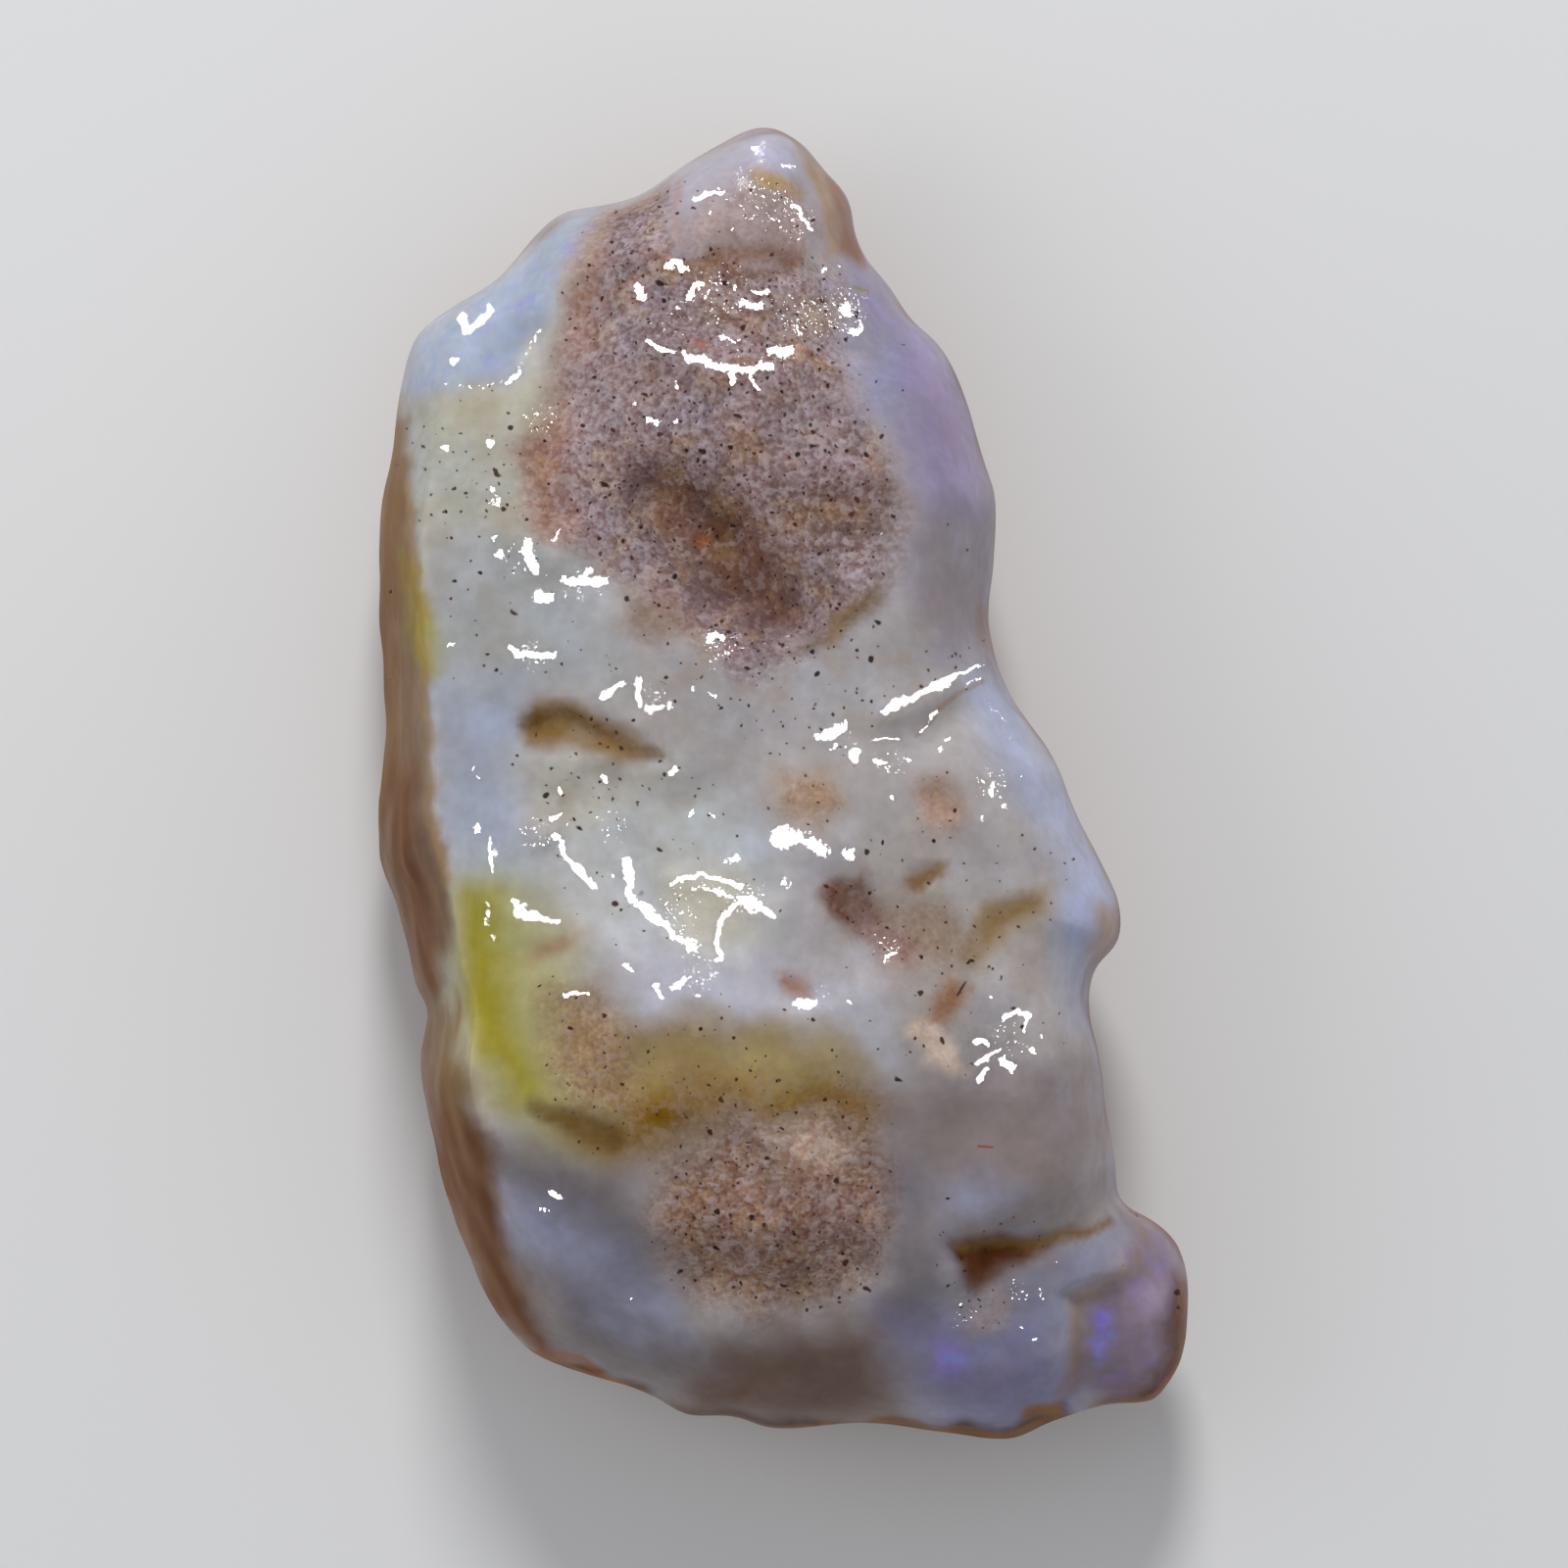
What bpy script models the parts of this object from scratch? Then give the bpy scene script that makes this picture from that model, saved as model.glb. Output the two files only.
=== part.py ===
"""Rough opal, 25 mm long, lying on its broad back with its pitted face up.

The stone is one solid. Its outline is drawn in plan, looking down on the face, with +Y towards the
narrow tip and +X to the right. Heights are above the surface that the stone lies on. Sizes are in
millimetres up to the last step, which turns the mesh into metres."""

import math

import bpy
import numpy as np
from mathutils import Vector, noise

METRES_PER_MM = 0.001

# Outline in plan, clockwise from the tip
OUTLINE = [
    (-0.10, 12.50), (0.40, 12.20), (0.80, 11.65), (1.25, 11.15), (1.40, 10.55), (1.60, 10.00),
    (2.05, 9.45), (2.45, 8.90), (2.95, 8.35), (3.35, 7.80), (3.60, 7.15), (3.90, 6.15), (4.08, 5.50),
    (4.04, 4.50), (3.97, 3.40), (4.04, 2.75), (4.15, 2.20), (4.40, 1.65), (4.75, 1.05), (5.15, 0.45),
    (5.60, -0.60), (6.15, -1.65), (6.40, -2.25), (6.45, -2.80), (6.30, -3.15), (6.00, -3.45),
    (5.87, -3.95), (5.90, -4.50), (6.08, -5.10), (6.25, -6.15), (6.38, -7.25), (6.42, -7.80),
    (6.62, -8.08), (7.15, -8.35), (7.55, -8.80), (7.74, -9.50), (7.74, -10.20), (7.62, -10.90),
    (7.35, -11.45), (7.08, -11.78), (6.50, -11.84), (5.95, -11.93), (5.10, -12.20), (4.30, -12.50),
    (3.10, -12.38), (1.50, -12.21), (0.20, -12.27), (-0.30, -12.25), (-0.80, -12.11), (-1.75, -12.05),
    (-2.40, -11.73), (-3.50, -11.38), (-4.60, -10.95), (-5.05, -10.58), (-5.50, -9.95), (-5.98, -8.94),
    (-6.37, -7.83), (-6.66, -6.71), (-6.86, -5.70), (-6.80, -4.90), (-6.72, -4.30), (-6.93, -3.90),
    (-7.12, -3.10), (-7.37, -2.24), (-7.63, -1.68), (-7.74, -1.05), (-7.66, 0.20), (-7.57, 1.60),
    (-7.65, 3.50), (-7.65, 5.00), (-7.48, 6.20), (-7.25, 7.30), (-7.08, 8.10), (-6.85, 8.65),
    (-6.30, 9.08), (-5.60, 9.47), (-5.15, 9.85), (-4.60, 10.48), (-4.10, 10.85), (-3.55, 10.96),
    (-2.96, 11.07), (-2.40, 11.31), (-1.80, 11.72), (-1.20, 12.10), (-0.60, 12.43),
]
# Every point of the outline can be seen from here
CENTRE = (-0.8, -4.6)

# Round the rim, where the face turns into the back: place, height of the rim, width of the face's
# shoulder there, how square that shoulder is (1 is a straight slope, 2 a quarter round), and how
# strongly it is terraced
RIM = [
    (-0.1, 12.3, 3.1, 1.5, 2.0, 0.0), (1.4, 10.6, 3.2, 1.4, 1.7, 0.0), (3.2, 7.6, 3.6, 2.2, 1.9, 0.0),
    (4.0, 4.5, 4.1, 2.0, 2.0, 0.0), (4.1, 2.2, 4.6, 1.6, 1.9, 0.0), (5.6, -0.8, 4.6, 1.6, 1.8, 0.0),
    (6.3, -2.8, 4.4, 1.2, 1.8, 0.0), (5.9, -4.4, 4.2, 1.5, 1.9, 0.0), (6.4, -7.5, 3.9, 1.8, 2.0, 0.0),
    (7.7, -9.8, 3.2, 1.1, 1.8, 0.0), (6.6, -11.8, 3.0, 1.2, 1.8, 0.0), (4.3, -12.4, 3.2, 1.6, 1.8, 0.0),
    (0.2, -12.3, 3.0, 2.0, 2.0, 0.0), (-3.5, -11.4, 2.6, 1.6, 1.7, 0.0), (-5.7, -9.5, 2.3, 1.4, 1.4, 0.0),
    (-6.7, -6.5, 2.2, 1.1, 1.25, 0.0), (-6.8, -4.5, 2.6, 0.9, 1.3, 0.1), (-7.3, -2.5, 2.3, 1.2, 1.2, 0.2),
    (-7.7, -0.8, 2.2, 1.3, 1.2, 0.2), (-7.6, 2.0, 2.4, 1.0, 1.25, 0.25), (-7.6, 5.0, 2.8, 0.9, 1.3, 0.2),
    (-7.1, 8.0, 3.2, 1.2, 1.7, 0.0), (-5.4, 9.7, 3.4, 1.3, 1.9, 0.0), (-2.8, 11.1, 3.5, 1.2, 1.8, 0.0),
]
RIM_REACH = 1.4
TERRACES = 3

# Broad heights of the face
FACE = [
    (-0.5, 11.6, 6.1), (1.1, 10.7, 4.8), (-0.7, 9.9, 6.9), (-1.8, 9.2, 7.3), (0.1, 9.0, 7.1),
    (1.7, 8.8, 6.1), (-1.1, 7.8, 7.9), (-2.9, 7.1, 7.7), (0.1, 6.9, 8.1), (1.6, 6.4, 7.9),
    (-3.8, 5.9, 7.5), (-1.6, 4.9, 7.6), (-0.4, 3.5, 7.9), (1.3, 4.4, 8.1), (-6.0, 5.8, 6.7),
    (-4.8, 4.4, 7.9), (-6.1, 3.0, 7.5), (-4.4, 9.4, 6.0), (-5.9, 8.5, 5.7), (-5.4, 7.6, 5.9),
    (2.9, 7.4, 6.7), (3.4, 4.6, 7.3), (3.4, 2.8, 7.4), (1.9, 1.8, 8.0), (-0.4, 1.5, 8.5),
    (-2.6, 1.9, 8.4), (-4.8, 1.9, 8.0), (-6.0, 0.0, 7.7), (-3.8, -0.4, 8.4), (-1.5, 0.1, 8.6),
    (1.0, 0.1, 8.8), (3.0, -0.3, 8.4), (4.6, -0.7, 7.8), (0.4, -1.1, 9.1), (-1.8, -1.9, 8.7),
    (-3.9, -1.9, 8.6), (-5.7, -2.8, 7.8), (-2.8, -3.5, 8.9), (-0.7, -3.4, 8.9), (1.5, -2.6, 8.7),
    (3.8, -2.3, 8.1), (5.4, -2.5, 7.3), (2.3, -4.1, 9.0), (4.3, -4.8, 8.2), (-1.9, -5.2, 8.5),
    (-4.5, -5.2, 8.1), (0.1, -4.8, 8.7), (1.9, -6.2, 8.0), (4.7, -6.4, 7.9), (-0.2, -7.7, 8.1),
    (-2.3, -7.3, 8.1), (-3.9, -7.4, 7.8), (-4.6, -9.0, 6.9), (-1.8, -10.0, 6.8), (1.0, -10.0, 6.8),
    (2.8, -8.0, 7.7), (5.2, -9.6, 6.8), (6.9, -9.7, 6.0), (6.7, -11.2, 5.6), (3.4, -11.2, 6.1),
    (1.0, -11.6, 5.4), (-2.8, -11.0, 5.6),
]
FACE_REACH = 0.95

# Broad heights of the back. Below zero it is worn flat on the surface that it lies on
BACK = [
    (-0.3, 11.6, 2.2), (-4.8, 8.8, 1.7), (2.2, 7.8, 1.0), (-0.5, 8.0, 0.4), (-5.6, 4.8, 0.8),
    (-1.0, 4.2, -0.5), (3.0, 4.0, 0.6), (-6.0, 0.5, 0.7), (-1.6, -0.8, -0.7), (4.2, -0.2, 0.5),
    (-5.6, -4.2, 0.5), (0.2, -5.0, -0.6), (4.6, -4.6, 0.3), (-4.2, -8.4, 0.6), (0.4, -8.6, -0.2),
    (4.6, -8.2, 0.6), (6.6, -10.4, 1.7), (2.6, -11.4, 1.3), (-2.4, -10.8, 1.1),
]
BACK_REACH = 1.9
BACK_SHOULDER = 3.0
BACK_SQUARENESS = 2.1

# Hollows in the face: corners in plan, drop, and width of the slope down
HOLLOWS = {
    "sand": ([
        (-3.2, 10.9), (-1.9, 11.0), (-1.2, 10.3), (0.9, 10.1), (2.3, 8.3), (2.6, 6.6), (2.5, 5.0),
        (1.3, 4.0), (0.3, 2.9), (-1.2, 2.9), (-2.8, 3.6), (-4.6, 5.0), (-5.0, 6.2), (-4.3, 7.6),
        (-3.9, 9.3),
    ], 0.30, 1.0),
    "low sand": ([
        (-2.0, -6.6), (0.9, -6.5), (1.9, -7.6), (1.6, -9.2), (0.2, -9.8), (-1.7, -9.4), (-2.5, -8.0),
    ], 0.16, 1.0),
    "corner lobe": ([
        (6.6, -8.3), (6.75, -8.7), (6.65, -9.2), (5.5, -9.65), (5.62, -10.2), (5.35, -11.6), (5.1, -12.6),
        (8.6, -12.6), (8.6, -8.6), (7.3, -8.3),
    ], 0.50, 0.60),
    "bowl": ([
        (-4.45, 0.00), (-2.95, 0.20), (-1.10, 0.00), (0.00, -0.75), (0.00, -1.90), (-1.10, -3.25),
        (-2.20, -3.00), (-3.70, -2.05), (-4.55, -1.30),
    ], 0.42, 1.1),
    "wet hollow": ([
        (3.75, -4.30), (4.60, -4.05), (4.95, -4.75), (4.70, -5.50), (3.90, -5.55), (3.50, -4.90),
    ], 0.24, 0.9),
}

# Small pits: place, half length, half width, turn in degrees from +X, and depth
PITS = [
    (2.65, -1.75, 0.42, 0.28, 45, 0.08),
    (-4.40, -3.15, 0.60, 0.30, 40, 0.08),
    (0.25, -3.80, 0.45, 0.30, -30, 0.10),
    (1.50, 5.10, 1.10, 0.70, -10, 0.22),
    (2.90, -0.30, 0.70, 0.55, 0, 0.12),
    (-0.30, 9.85, 1.00, 0.50, -6, 0.18),
    (-2.30, 3.00, 0.80, 0.55, -20, 0.14),
    (-1.90, -5.40, 1.80, 1.00, 0, 0.10),
    (-4.00, -4.40, 1.00, 0.70, 20, 0.12),
    (-5.30, 8.35, 1.00, 0.60, 25, 0.22),
]

# Ridges, and grooves with a height below nought: path, height, half width
FOLDS = [
    ([(-2.30, 5.30), (-1.40, 4.60), (-0.50, 3.70), (0.10, 3.10)], -0.66, 0.78),
    ([(-4.70, 1.08), (-4.20, 1.20), (-3.60, 1.08), (-2.90, 0.84), (-2.35, 0.62)], -0.18, 0.32),
    ([(-4.85, 1.45), (-4.20, 1.68), (-3.50, 1.55), (-2.70, 1.20)], 0.06, 0.22),
    ([(1.15, -1.85), (1.50, -2.20), (1.85, -2.75), (2.05, -3.15)], -0.22, 0.42),
    ([(3.45, -8.80), (3.85, -9.00)], -0.24, 0.40),
    ([(3.70, -8.80), (4.80, -8.55), (6.10, -8.35)], -0.14, 0.26),
    ([(-4.30, -6.15), (-3.70, -6.45), (-3.20, -6.80)], -0.08, 0.28),
    ([(3.95, -2.85), (4.20, -2.55), (4.75, -2.30)], -0.08, 0.30),
    ([(2.85, -5.00), (3.15, -4.40), (3.50, -3.80)], -0.08, 0.28),
    ([(2.50, 0.75), (3.00, 1.15), (3.60, 1.55)], -0.14, 0.30),
    ([(1.20, 2.85), (1.60, 3.20), (2.10, 3.55)], -0.10, 0.34),
    ([(-2.45, 8.35), (-1.85, 8.15), (-1.00, 7.85), (0.05, 7.70)], 0.22, 0.36),
    ([(-4.40, -0.85), (-3.95, -1.30), (-3.45, -1.95)], 0.12, 0.26),
    ([(-2.95, -1.40), (-2.70, -2.15), (-2.05, -2.80), (-1.20, -3.25)], 0.14, 0.28),
    ([(-2.00, -1.85), (-1.10, -1.80), (-0.50, -2.25), (-0.05, -2.55)], 0.12, 0.26),
    ([(1.95, 1.35), (2.80, 1.70), (3.75, 2.20), (4.10, 2.35)], 0.26, 0.34),
    ([(-0.20, -0.95), (0.40, -1.05), (0.95, -1.35)], 0.16, 0.42),
    ([(-6.40, 7.45), (-5.55, 7.20), (-4.45, 7.45), (-3.90, 8.15)], 0.16, 0.30),
    ([(-5.45, -1.30), (-5.35, -2.20), (-4.75, -2.65), (-3.90, -2.75)], 0.10, 0.30),
    ([(4.80, 0.50), (5.50, -0.90), (6.05, -2.30)], 0.16, 0.45),
    ([(-5.60, 4.75), (-4.80, 4.75), (-4.20, 4.40)], 0.22, 0.40),
    ([(-0.70, -4.20), (0.30, -4.35), (1.60, -4.00)], 0.10, 0.45),
    ([(3.20, -5.40), (4.20, -5.50), (5.10, -5.00)], 0.08, 0.50),
]

# Shallow flake scars in the back: place, radius and depth
SCARS = [
    (-5.0, 6.2, 3.0, 0.65), (3.6, 6.0, 2.6, 0.60), (4.9, -2.2, 2.8, 0.55), (-5.6, -2.0, 2.8, 0.60),
    (3.9, -10.3, 2.6, 0.55), (-3.4, -9.6, 2.7, 0.60), (0.2, 9.8, 2.2, 0.50),
]

# Unevenness of the whole skin: amplitude and wavelength
LUMPS = [(0.10, 2.6), (0.045, 0.9)]
# How far the hollows' edges waver in plan, and over what length
EDGE_WAVER = (0.20, 1.1)
LUMP_SEED = (3.7, 11.2, 5.9)

CURVE_STEPS = 6
RINGS = 110
VOXEL = 0.20
TRIANGLES = 9400
FLAT_CUT = 0.04
SKIN_COLOUR = (0.47, 0.43, 0.40, 1.0)


def closed_curve(corners):
    """Points along the smooth closed curve through the corners (Catmull-Rom)."""
    p = np.array(corners, float)
    t = (np.arange(CURVE_STEPS) / CURVE_STEPS)[:, None]
    before, after, beyond = np.roll(p, 1, 0), np.roll(p, -1, 0), np.roll(p, -2, 0)
    spans = [
        0.5 * (2 * b + (c - a) * t + (2 * a - 5 * b + 4 * c - d) * t**2 + (3 * b - a - 3 * c + d) * t**3)
        for a, b, c, d in zip(before, p, after, beyond)
    ]
    return np.concatenate(spans)


def distance_to_path(x, y, path, closed=False):
    """Distance in plan from each point to a path of straight spans."""
    ends = list(zip(path[:-1], path[1:])) + ([(path[-1], path[0])] if closed else [])
    nearest = np.full(np.shape(x), np.inf)
    for (ax, ay), (bx, by) in ends:
        dx, dy = bx - ax, by - ay
        along = np.clip(((x - ax) * dx + (y - ay) * dy) / (dx * dx + dy * dy), 0, 1)
        nearest = np.minimum(nearest, np.hypot(x - ax - along * dx, y - ay - along * dy))
    return nearest


def inside(x, y, corners):
    """Whether each point lies inside the polygon in plan."""
    found = np.zeros(np.shape(x), bool)
    for (ax, ay), (bx, by) in zip(corners, corners[1:] + corners[:1]):
        if ay != by:
            found ^= ((ay > y) != (by > y)) & (x < (bx - ax) * (y - ay) / (by - ay) + ax)
    return found


def smooth(t):
    t = np.clip(t, 0, 1)
    return t * t * (3 - 2 * t)


def blend(stations, x, y, reach):
    """The stations' values, mixed by nearness in plan."""
    weights = [np.exp(-((x - s[0]) ** 2 + (y - s[1]) ** 2) / (2 * reach**2)) + 1e-12 for s in stations]
    total = sum(weights)
    return [sum(w * s[i] for w, s in zip(weights, stations)) / total for i in range(2, len(stations[0]))]


def wave(points, wavelength, seed=LUMP_SEED):
    """Smooth noise between about -1 and 1 at each point."""
    shift = Vector(seed)
    return np.array([noise.noise(Vector(p) / wavelength + shift) for p in points])


def shoulder(depth, width, squareness):
    """How far a surface has risen from the rim, 0 to 1, at this depth inside the outline."""
    out = 1 - np.clip(depth / width, 0, 1)
    return np.maximum(1 - out**squareness, 0) ** (1 / squareness)


def bell(x, y, place, half_length, half_width, turn):
    """A round-shouldered bump of height 1 on a turned ellipse."""
    c, s = math.cos(math.radians(turn)), math.sin(math.radians(turn))
    along = ((x - place[0]) * c + (y - place[1]) * s) / half_length
    across = ((y - place[1]) * c - (x - place[0]) * s) / half_width
    return smooth(1.25 * (1 - np.hypot(along, across)) + 0.1)


def face_height(x, y, depth):
    """Height of the face at points this deep inside the outline."""
    flat = np.stack([x, y, np.zeros_like(x)], 1)
    amount, wavelength = EDGE_WAVER
    wx = x + amount * wave(flat, wavelength)
    wy = y + amount * wave(flat, wavelength, LUMP_SEED[::-1])
    (broad,) = blend(FACE, x, y, FACE_REACH)
    rim, width, squareness, terraced = blend(RIM, x, y, RIM_REACH)
    relief = np.zeros_like(x)
    for corners, drop, run in HOLLOWS.values():
        signed = distance_to_path(wx, wy, corners, closed=True) * np.where(inside(wx, wy, corners), 1, -1)
        relief -= drop * smooth(0.5 + signed / run)
    for px, py, half_length, half_width, turn, pit_depth in PITS:
        relief -= pit_depth * bell(wx, wy, (px, py), half_length, half_width, turn)
    for path, height, half_width in FOLDS:
        relief += height * np.exp(-((distance_to_path(wx, wy, path) / half_width) ** 2))
    risen = shoulder(depth, width, squareness)
    risen -= terraced * np.sin(risen * TERRACES * math.tau) / (TERRACES * math.tau)
    return rim + (broad + relief - rim) * risen


def back_height(x, y, depth):
    """Height of the back, scars and all, at points this deep inside the outline."""
    (broad,) = blend(BACK, x, y, BACK_REACH)
    rim = blend(RIM, x, y, RIM_REACH)[0]
    for sx, sy, radius, scar_depth in SCARS:
        broad = broad + scar_depth * np.maximum(1 - np.hypot(x - sx, y - sy) ** 2 / radius**2, 0)
    return rim + (np.minimum(broad, rim) - rim) * shoulder(depth, BACK_SHOULDER, BACK_SQUARENESS)


def ringed_body():
    """The stone as two caps of rings that share the rim: points and faces."""
    rim = closed_curve(OUTLINE)
    count = len(rim)
    inwards = (np.arange(RINGS) / RINGS) ** 1.6
    rings = np.array(CENTRE) + (1 - inwards)[:, None, None] * (rim - CENTRE)
    plan = np.concatenate([rings.reshape(-1, 2), [CENTRE]])
    x, y = plan[:, 0], plan[:, 1]
    depth = distance_to_path(x, y, [tuple(p) for p in rim], closed=True)
    depth[:count] = 0
    face = np.stack([x, y, face_height(x, y, depth)], 1)
    back = np.stack([x, y, back_height(x, y, depth)], 1)[count:]
    middle = len(face) - 1

    def cap(index, turned):
        quads = []
        for ring in range(RINGS - 1):
            for i in range(count):
                j = (i + 1) % count
                quad = [ring * count + i, ring * count + j, (ring + 1) * count + j, (ring + 1) * count + i]
                quads.append([index(v) for v in (quad[::-1] if turned else quad)])
        last = (RINGS - 1) * count
        for i in range(count):
            tip = [last + i, last + (i + 1) % count, middle]
            quads.append([index(v) for v in (tip[::-1] if turned else tip)])
        return quads

    faces = cap(lambda v: v, True) + cap(lambda v: v if v < count else v - count + len(face), False)
    return np.concatenate([face, back]), faces


def evaluated(mesh, kind, **settings):
    """A new mesh: this one as one modifier leaves it."""
    helper = bpy.data.objects.new("helper", mesh)
    bpy.context.scene.collection.objects.link(helper)
    modifier = helper.modifiers.new(kind.title(), kind)
    for name, value in settings.items():
        setattr(modifier, name, value)
    graph = bpy.context.evaluated_depsgraph_get()
    made = bpy.data.meshes.new_from_object(helper.evaluated_get(graph), depsgraph=graph)
    bpy.data.objects.remove(helper)
    return made


def coordinates(mesh, kind="co"):
    values = np.empty(len(mesh.vertices) * 3, np.float32)
    if kind == "co":
        mesh.vertices.foreach_get("co", values)
    else:
        mesh.vertex_normals.foreach_get("vector", values)
    return values.reshape(-1, 3).astype(float)


def put_back(mesh, points):
    mesh.vertices.foreach_set("co", points.astype(np.float32).ravel())
    mesh.update()


def roughen(mesh):
    """Small lumps all over, and the flat that the stone lies on."""
    points = coordinates(mesh)
    normals = coordinates(mesh, "normal")
    lift = sum(amount * wave(points, wavelength) for amount, wavelength in LUMPS)
    points += normals * lift[:, None]
    points[:, 2] = np.maximum(points[:, 2] - FLAT_CUT, 0)
    put_back(mesh, points)


def skin_material():
    material = bpy.data.materials.new("opal")
    material.use_nodes = True
    shader = material.node_tree.nodes["Principled BSDF"]
    shader.inputs["Base Color"].default_value = SKIN_COLOUR
    shader.inputs["Roughness"].default_value = 0.18
    shader.inputs["Metallic"].default_value = 0.0
    return material


def main():
    for old in list(bpy.data.objects):
        bpy.data.objects.remove(old)
    points, faces = ringed_body()
    rings = bpy.data.meshes.new("rings")
    rings.from_pydata(points.tolist(), [], faces)
    even = evaluated(rings, "REMESH", mode="VOXEL", voxel_size=VOXEL)
    roughen(even)
    share = TRIANGLES / sum(len(p.vertices) - 2 for p in even.polygons)
    mesh = evaluated(even, "DECIMATE", ratio=share, use_collapse_triangulate=True)
    points = coordinates(mesh)
    points[points[:, 2] < FLAT_CUT / 4, 2] = 0
    points[:, :2] -= (points[:, :2].min(0) + points[:, :2].max(0)) / 2
    put_back(mesh, points * METRES_PER_MM)
    mesh.shade_smooth()
    mesh.materials.append(skin_material())
    stone = bpy.data.objects.new("opal", mesh)
    bpy.context.scene.collection.objects.link(stone)


main()
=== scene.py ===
import math

import bmesh
import bpy
import numpy as np
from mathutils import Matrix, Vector, noise


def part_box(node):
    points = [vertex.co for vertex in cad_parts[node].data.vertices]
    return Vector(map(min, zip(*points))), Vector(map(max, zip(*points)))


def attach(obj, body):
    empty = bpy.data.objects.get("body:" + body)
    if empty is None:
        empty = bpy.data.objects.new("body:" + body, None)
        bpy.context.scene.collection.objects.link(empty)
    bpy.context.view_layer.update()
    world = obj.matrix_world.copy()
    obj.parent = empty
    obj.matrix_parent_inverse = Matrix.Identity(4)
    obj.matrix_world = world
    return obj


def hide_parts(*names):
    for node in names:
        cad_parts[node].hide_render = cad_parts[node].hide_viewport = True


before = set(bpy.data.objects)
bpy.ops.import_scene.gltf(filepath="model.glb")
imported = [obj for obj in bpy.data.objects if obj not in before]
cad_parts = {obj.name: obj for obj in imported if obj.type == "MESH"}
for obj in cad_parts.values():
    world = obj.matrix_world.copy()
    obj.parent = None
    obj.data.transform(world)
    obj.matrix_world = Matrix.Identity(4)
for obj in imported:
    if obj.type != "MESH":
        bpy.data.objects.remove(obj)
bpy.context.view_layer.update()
METRES_PER_MM = 0.001

# Millimetres: places in plan, +Y towards the tip and +X to the right, and heights above the floor

OUTLINE = [
    (-0.1, 12.5), (0.4, 12.2), (0.8, 11.65), (1.25, 11.15), (1.4, 10.55), (1.6, 10.0), (2.05, 9.45),
    (2.45, 8.9), (2.95, 8.35), (3.35, 7.8), (3.6, 7.15), (3.9, 6.15), (4.08, 5.5), (4.04, 4.5),
    (3.97, 3.4), (4.04, 2.75), (4.15, 2.2), (4.4, 1.65), (4.75, 1.05), (5.15, 0.45), (5.6, -0.6),
    (6.15, -1.65), (6.4, -2.25), (6.45, -2.8), (6.3, -3.15), (6.0, -3.45), (5.87, -3.95), (5.9, -4.5),
    (6.08, -5.1), (6.25, -6.15), (6.38, -7.25), (6.42, -7.8), (6.62, -8.08), (7.15, -8.35), (7.55, -8.8),
    (7.74, -9.5), (7.74, -10.2), (7.62, -10.9), (7.35, -11.45), (7.08, -11.78), (6.5, -11.84),
    (5.95, -11.93), (5.1, -12.2), (4.3, -12.5), (3.1, -12.38), (1.5, -12.21), (0.2, -12.27),
    (-0.3, -12.25), (-0.8, -12.11), (-1.75, -12.05), (-2.4, -11.73), (-3.5, -11.38), (-4.6, -10.95),
    (-5.05, -10.58), (-5.5, -9.95), (-5.98, -8.94), (-6.37, -7.83), (-6.66, -6.71), (-6.86, -5.7),
    (-6.8, -4.9), (-6.72, -4.3), (-6.93, -3.9), (-7.12, -3.1), (-7.37, -2.24), (-7.63, -1.68),
    (-7.74, -1.05), (-7.66, 0.2), (-7.57, 1.6), (-7.65, 3.5), (-7.65, 5.0), (-7.48, 6.2), (-7.25, 7.3),
    (-7.08, 8.1), (-6.85, 8.65), (-6.3, 9.08), (-5.6, 9.47), (-5.15, 9.85), (-4.6, 10.48), (-4.1, 10.85),
    (-3.55, 10.96), (-2.96, 11.07), (-2.4, 11.31), (-1.8, 11.72), (-1.2, 12.1), (-0.6, 12.43),
]
# Every point of the outline can be seen from here
CENTRE = (-0.8, -4.6)

# Place round the rim, rim height, width of the face's shoulder, its squareness, how strongly it is terraced
RIM = [
    (-0.1, 12.3, 3.1, 1.5, 2.0, 0.0), (1.4, 10.6, 3.2, 1.4, 1.7, 0.0), (3.2, 7.6, 3.6, 2.2, 1.9, 0.0),
    (4.0, 4.5, 4.1, 2.0, 2.0, 0.0), (4.1, 2.2, 4.6, 1.6, 1.9, 0.0), (5.6, -0.8, 4.6, 1.6, 1.8, 0.0),
    (6.3, -2.8, 4.4, 1.2, 1.8, 0.0), (5.9, -4.4, 4.2, 1.5, 1.9, 0.0), (6.4, -7.5, 3.9, 1.8, 2.0, 0.0),
    (7.7, -9.8, 3.2, 1.1, 1.8, 0.0), (6.6, -11.8, 3.0, 1.2, 1.8, 0.0), (4.3, -12.4, 3.2, 1.6, 1.8, 0.0),
    (0.2, -12.3, 3.0, 2.0, 2.0, 0.0), (-3.5, -11.4, 2.6, 1.6, 1.7, 0.0), (-5.7, -9.5, 2.3, 1.4, 1.4, 0.0),
    (-6.7, -6.5, 2.2, 1.1, 1.25, 0.0), (-6.8, -4.5, 2.6, 0.9, 1.3, 0.1), (-7.3, -2.5, 2.3, 1.2, 1.2, 0.2),
    (-7.7, -0.8, 2.2, 1.3, 1.2, 0.2), (-7.6, 2.0, 2.4, 1.0, 1.25, 0.25), (-7.6, 5.0, 2.8, 0.9, 1.3, 0.2),
    (-7.1, 8.0, 3.2, 1.2, 1.7, 0.0), (-5.4, 9.7, 3.4, 1.3, 1.9, 0.0), (-2.8, 11.1, 3.5, 1.2, 1.8, 0.0),
]
RIM_REACH = 1.4
TERRACES = 3

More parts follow.
